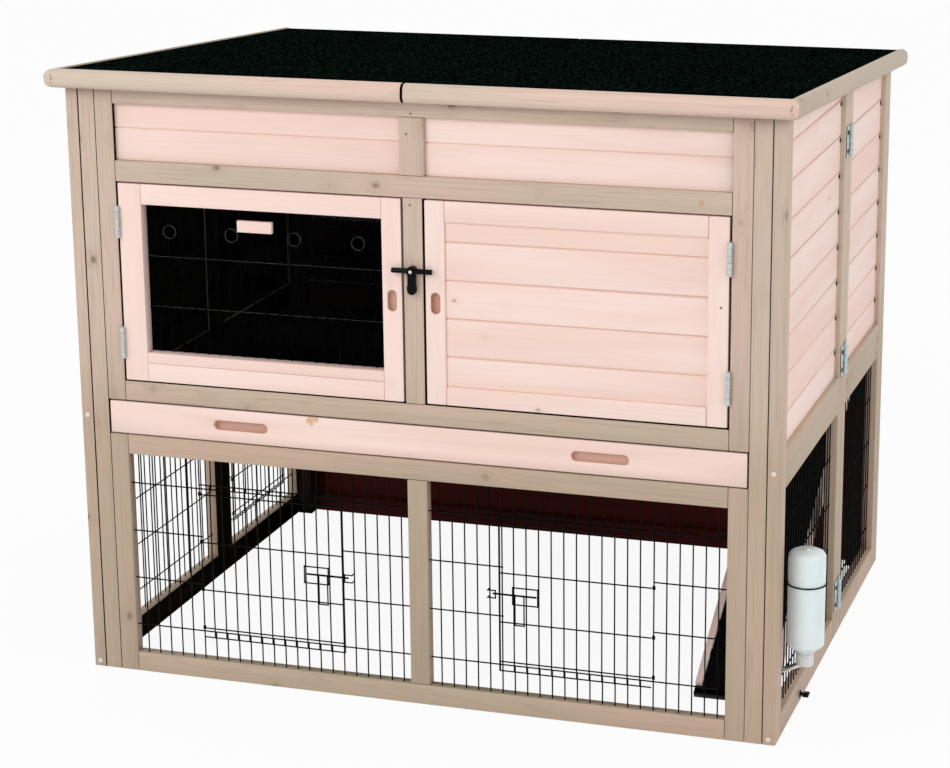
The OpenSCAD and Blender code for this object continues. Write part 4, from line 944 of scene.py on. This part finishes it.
class HUTCH_OT_tray(bpy.types.Operator):
    """Dresses the tray's sheet pan"""
    bl_idname = "hutch.tray"
    bl_label = "Tray pan"

    def execute(self, context):
        plain_copy("tray_pan", "galvanised", 0.6 * MM)
        return {"FINISHED"}


class HUTCH_OT_ramp(bpy.types.Operator):
    """Dresses the ramp's tread and its foot"""
    bl_idname = "hutch.ramp"
    bl_label = "Ramp tread and foot"

    def execute(self, context):
        plain_copy("ramp_tread", "black_felt", 0.6 * MM)
        plain_copy("ramp_foot", "black_steel", 0.8 * MM)
        return {"FINISHED"}


class HUTCH_OT_bottle(bpy.types.Operator):
    """Dresses the drinking bottle, its cap and its spout"""
    bl_idname = "hutch.bottle"
    bl_label = "Drinking bottle"

    def execute(self, context):
        self.body()
        self.cap()
        plain_copy("bottle_spout", "bright_steel", degrees=50)
        return {"FINISHED"}

    def body(self):
        """Bottle with the small moulding nub on its top."""
        piece = whole_copy("bottle_body", "bottle_body.moulded")
        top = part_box("bottle_body")[1].z
        rim_to_nub, nub_height = 0.0145, 0.0022
        pick(piece, lambda at, way: at.z > top - 0.0001 and way.z > SQUARE_ON)
        bpy.ops.mesh.inset(thickness=rim_to_nub)
        bpy.ops.mesh.inset(thickness=0.0006, depth=nub_height)
        close_edit()
        soften(piece, 0.8 * MM, degrees=25)
        smooth(piece, 60)
        finish_piece(piece, "milky_plastic", "bottle_body")

    def cap(self):
        """Cap with a ribbed grip."""
        piece = whole_copy("bottle_cap", "bottle_cap.ribbed")
        low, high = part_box("bottle_cap")
        middle = (low + high) / 2
        sides, groove = 48, 0.0005

        def hollow(at, way):
            turn = math.atan2(at.y - middle.y, at.x - middle.x) / math.tau * sides
            return abs(way.z) < 0.1 and math.floor(turn) % 2 == 0
        pick(piece, hollow)
        bpy.ops.mesh.inset(thickness=0.0003, depth=-groove, use_individual=True)
        close_edit()
        smooth(piece, 30)
        finish_piece(piece, "white_plastic", "bottle_cap")


def nail_head(width, height, hollow):
    """Punched nail head, lying level, with a hollow middle. It need not be round."""
    thickness, border = 0.6 * MM, 0.22 * width
    clear_selection()
    bpy.ops.mesh.primitive_cylinder_add(vertices=16, radius=width / 2, depth=thickness)
    head = bpy.context.object
    head.scale = (1, height / width, 1)
    settle(head)
    pick(head, lambda at, way: way.z > SQUARE_ON)
    bpy.ops.mesh.inset(thickness=border, depth=-hollow)
    close_edit()
    soften(head, 0.12 * MM, 1)
    smooth(head, 30)
    return head


def marks(name, head, places, way, finish, body):
    """Copies of one nail head, each at its place in millimetres and facing one way."""
    turn = Vector(way).to_track_quat("Z", "Y").to_matrix().to_4x4()
    copies = []
    for place in places:
        copy = head.copy()
        copy.data = head.data.copy()
        bpy.context.scene.collection.objects.link(copy)
        copy.matrix_world = Matrix.Translation(Vector(place) * MM) @ turn
        settle(copy)
        copies.append(copy)
    finish_piece(joined(copies, name), finish, body=body)


class HUTCH_OT_nails(bpy.types.Operator):
    """Drives the nails of boards, frames and roof strips"""
    bl_idname = "hutch.nails"
    bl_label = "Nails and brads"

    def execute(self, context):
        sizes = context.scene.hutch_sizes
        hutch = BODY_OF["front_upper_frame"]
        # Places in millimetres
        wall_face, front_row, rear_row, lowest, board = 552.35, 432.5, 800.5, 435, 57.3
        front_face, strip_face, strip_middle = -9.8, 0.31, 14.7
        dark = nail_head(sizes.nail_width, sizes.nail_width * 0.8, 0.0002)
        for side, name in SIDES:
            spots = [(side * wall_face, y, lowest + board * k)
                     for y, count in ((front_row, 8), (rear_row, 7))
                     for k in range(1, count + 1)]
            marks(name + "_board_nails", dark, spots, (side, 0, 0), "nail_mark", hutch)
        brad = nail_head(sizes.brad_width, sizes.brad_width * 1.1, 0.0003)
        outward = (0, -1, 0)
        stile_spots = [(x, front_face, z) for x, z in ((0.3, 926.5), (-7.2, 895.9), (-3.4, 790))]
        marks("frame_brads", brad, stile_spots, outward, "brad_mark", hutch)
        marks("door_brad", brad, [(467.8, front_face, 666)], outward, "brad_mark",
              BODY_OF["solid_door_frame"])
        for side, name in SIDES:
            node = name + "_lid_fascia"
            low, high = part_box(node)
            front = low.y / MM + strip_face
            middle = high.z / MM - strip_middle
            spots = [(side * x, front, z) for x, z in self.corner(middle)]
            marks(name + "_strip_brads", brad, spots, outward, "small_brad", BODY_OF[node])
        plug = nail_head(0.007, 0.008, 0.0001)
        marks("rail_plug", plug, [(437.6, front_face, 817.5)], outward, "plug_wood", hutch)
        for head in (dark, brad, plug):
            bpy.data.objects.remove(head)
        return {"FINISHED"}

    def corner(self, middle):
        """Places of three brads, one above the other, at a strip's outer end."""
        apart = 5
        return ((570, middle + apart), (569, middle), (570, middle - apart))


class HUTCH_OT_stage(bpy.types.Operator):
    """Lays the pale floor, hangs the soft lamps and sets the camera"""
    bl_idname = "hutch.stage"
    bl_label = "Floor, lamps and camera"

    def execute(self, context):
        self.floor()
        self.sky(context.scene.hutch_stage.sky)
        stage = context.scene.hutch_stage
        self.lamp("key_lamp", stage.key_power, (-2.6, -4.2, 3.6), aim=(0, 0.2, 0.5), size=2.4)
        self.lamp("side_lamp", stage.side_power, (4.2, -0.6, 2.6), aim=(0.3, 0.4, 0.5), size=2.2)
        self.camera(stage.lens)
        return {"FINISHED"}

    def floor(self):
        wide, hairline = 40, 0.5 * MM
        clear_selection()
        bpy.ops.mesh.primitive_plane_add(size=wide, location=(0, 0.4, CAD_LOW.z - hairline))
        ground = bpy.context.object
        ground.name = "floor"
        settle(ground)
        material, wires, shader = new_finish("pale_floor")
        cloud = wires.noise(wires.place(), 0.8)
        pale = wires.mix(cloud, (0.86, 0.86, 0.86), (0.90, 0.90, 0.90))
        wires.feed(shader, {"Base Color": pale, "Roughness": 0.9})
        glow = wires.node("Emission", {"Color": (1, 1, 1), "Strength": 1.0})
        glowing = 0.93
        blend = wires.node("MixShader", {0: wires.times(wires.seen(), glowing),
                                         1: shader.outputs[0], 2: glow.outputs[0]})
        output = material.node_tree.nodes["Material Output"]
        wires.feed(output, {"Surface": blend.outputs[0]})
        ground.data.materials.append(material)

    def sky(self, strength):
        world = bpy.data.worlds.new("studio")
        bpy.context.scene.world = world
        world.use_nodes = True
        wires = Wiring(world.node_tree)
        power = wires.node("MapRange", {"Value": wires.seen(), "To Min": strength})
        wires.feed(world.node_tree.nodes["Background"], {"Color": (1, 1, 1),
                                                         "Strength": power.outputs[0]})

    def lamp(self, name, power, place, aim, size):
        light = bpy.data.lights.new(name, "AREA")
        light.shape = "SQUARE"
        light.size = size
        light.energy = power
        holder = bpy.data.objects.new(name, light)
        bpy.context.scene.collection.objects.link(holder)
        holder.location = place
        holder.rotation_euler = (Vector(aim) - Vector(place)).to_track_quat("-Z", "Y").to_euler()

    def camera(self, lens):
        view = bpy.data.cameras.new("camera")
        holder = bpy.data.objects.new("camera", view)
        bpy.context.scene.collection.objects.link(holder)
        right = Vector((0.94993, 0.31232, -0.00989))
        up = Vector((-0.07289, 0.25226, 0.96491))
        back = Vector((0.30385, -0.91587, 0.26239))
        turn = Matrix((right, up, back)).transposed().to_4x4()
        place = Vector((1.271, -3.5025, 1.552))
        holder.matrix_world = Matrix.Translation(place) @ turn
        view.lens = lens
        view.sensor_width = 36
        view.shift_x = -0.0115
        view.shift_y = -0.0177
        view.clip_end = 60
        bpy.context.scene.camera = holder


STEPS = [HUTCH_OT_finishes, HUTCH_OT_frames, HUTCH_OT_boards, HUTCH_OT_inner_timber,
         HUTCH_OT_wires, HUTCH_OT_hinges, HUTCH_OT_roof, HUTCH_OT_window, HUTCH_OT_latch,
         HUTCH_OT_tray, HUTCH_OT_ramp, HUTCH_OT_bottle, HUTCH_OT_nails, HUTCH_OT_stage]


class HUTCH_PT_panel(bpy.types.Panel):
    """Lists the steps that dress the hutch"""
    bl_idname = "HUTCH_PT_panel"
    bl_label = "Small Animal Hutch"
    bl_space_type = "VIEW_3D"
    bl_region_type = "UI"
    bl_category = "Hutch"

    def draw(self, context):
        for step in STEPS:
            self.layout.operator(step.bl_idname)
        for group in (context.scene.hutch_colours, context.scene.hutch_sizes,
                      context.scene.hutch_stage):
            box = self.layout.box()
            for key in group.__annotations__:
                box.prop(group, key)


CLASSES = [HutchColours, HutchSizes, HutchStage, *STEPS, HUTCH_PT_panel]


def register():
    for kind in CLASSES:
        bpy.utils.register_class(kind)
    bpy.types.Scene.hutch_colours = bpy.props.PointerProperty(type=HutchColours)
    bpy.types.Scene.hutch_sizes = bpy.props.PointerProperty(type=HutchSizes)
    bpy.types.Scene.hutch_stage = bpy.props.PointerProperty(type=HutchStage)


def unregister():
    del bpy.types.Scene.hutch_stage
    del bpy.types.Scene.hutch_sizes
    del bpy.types.Scene.hutch_colours
    for kind in reversed(CLASSES):
        bpy.utils.unregister_class(kind)


def main():
    register()
    scene = bpy.context.scene
    scene.view_settings.view_transform = "Standard"
    for step in STEPS:
        group, name = step.bl_idname.split(".")
        getattr(getattr(bpy.ops, group), name)()
    clear_selection()


if __name__ == "__main__":
    main()
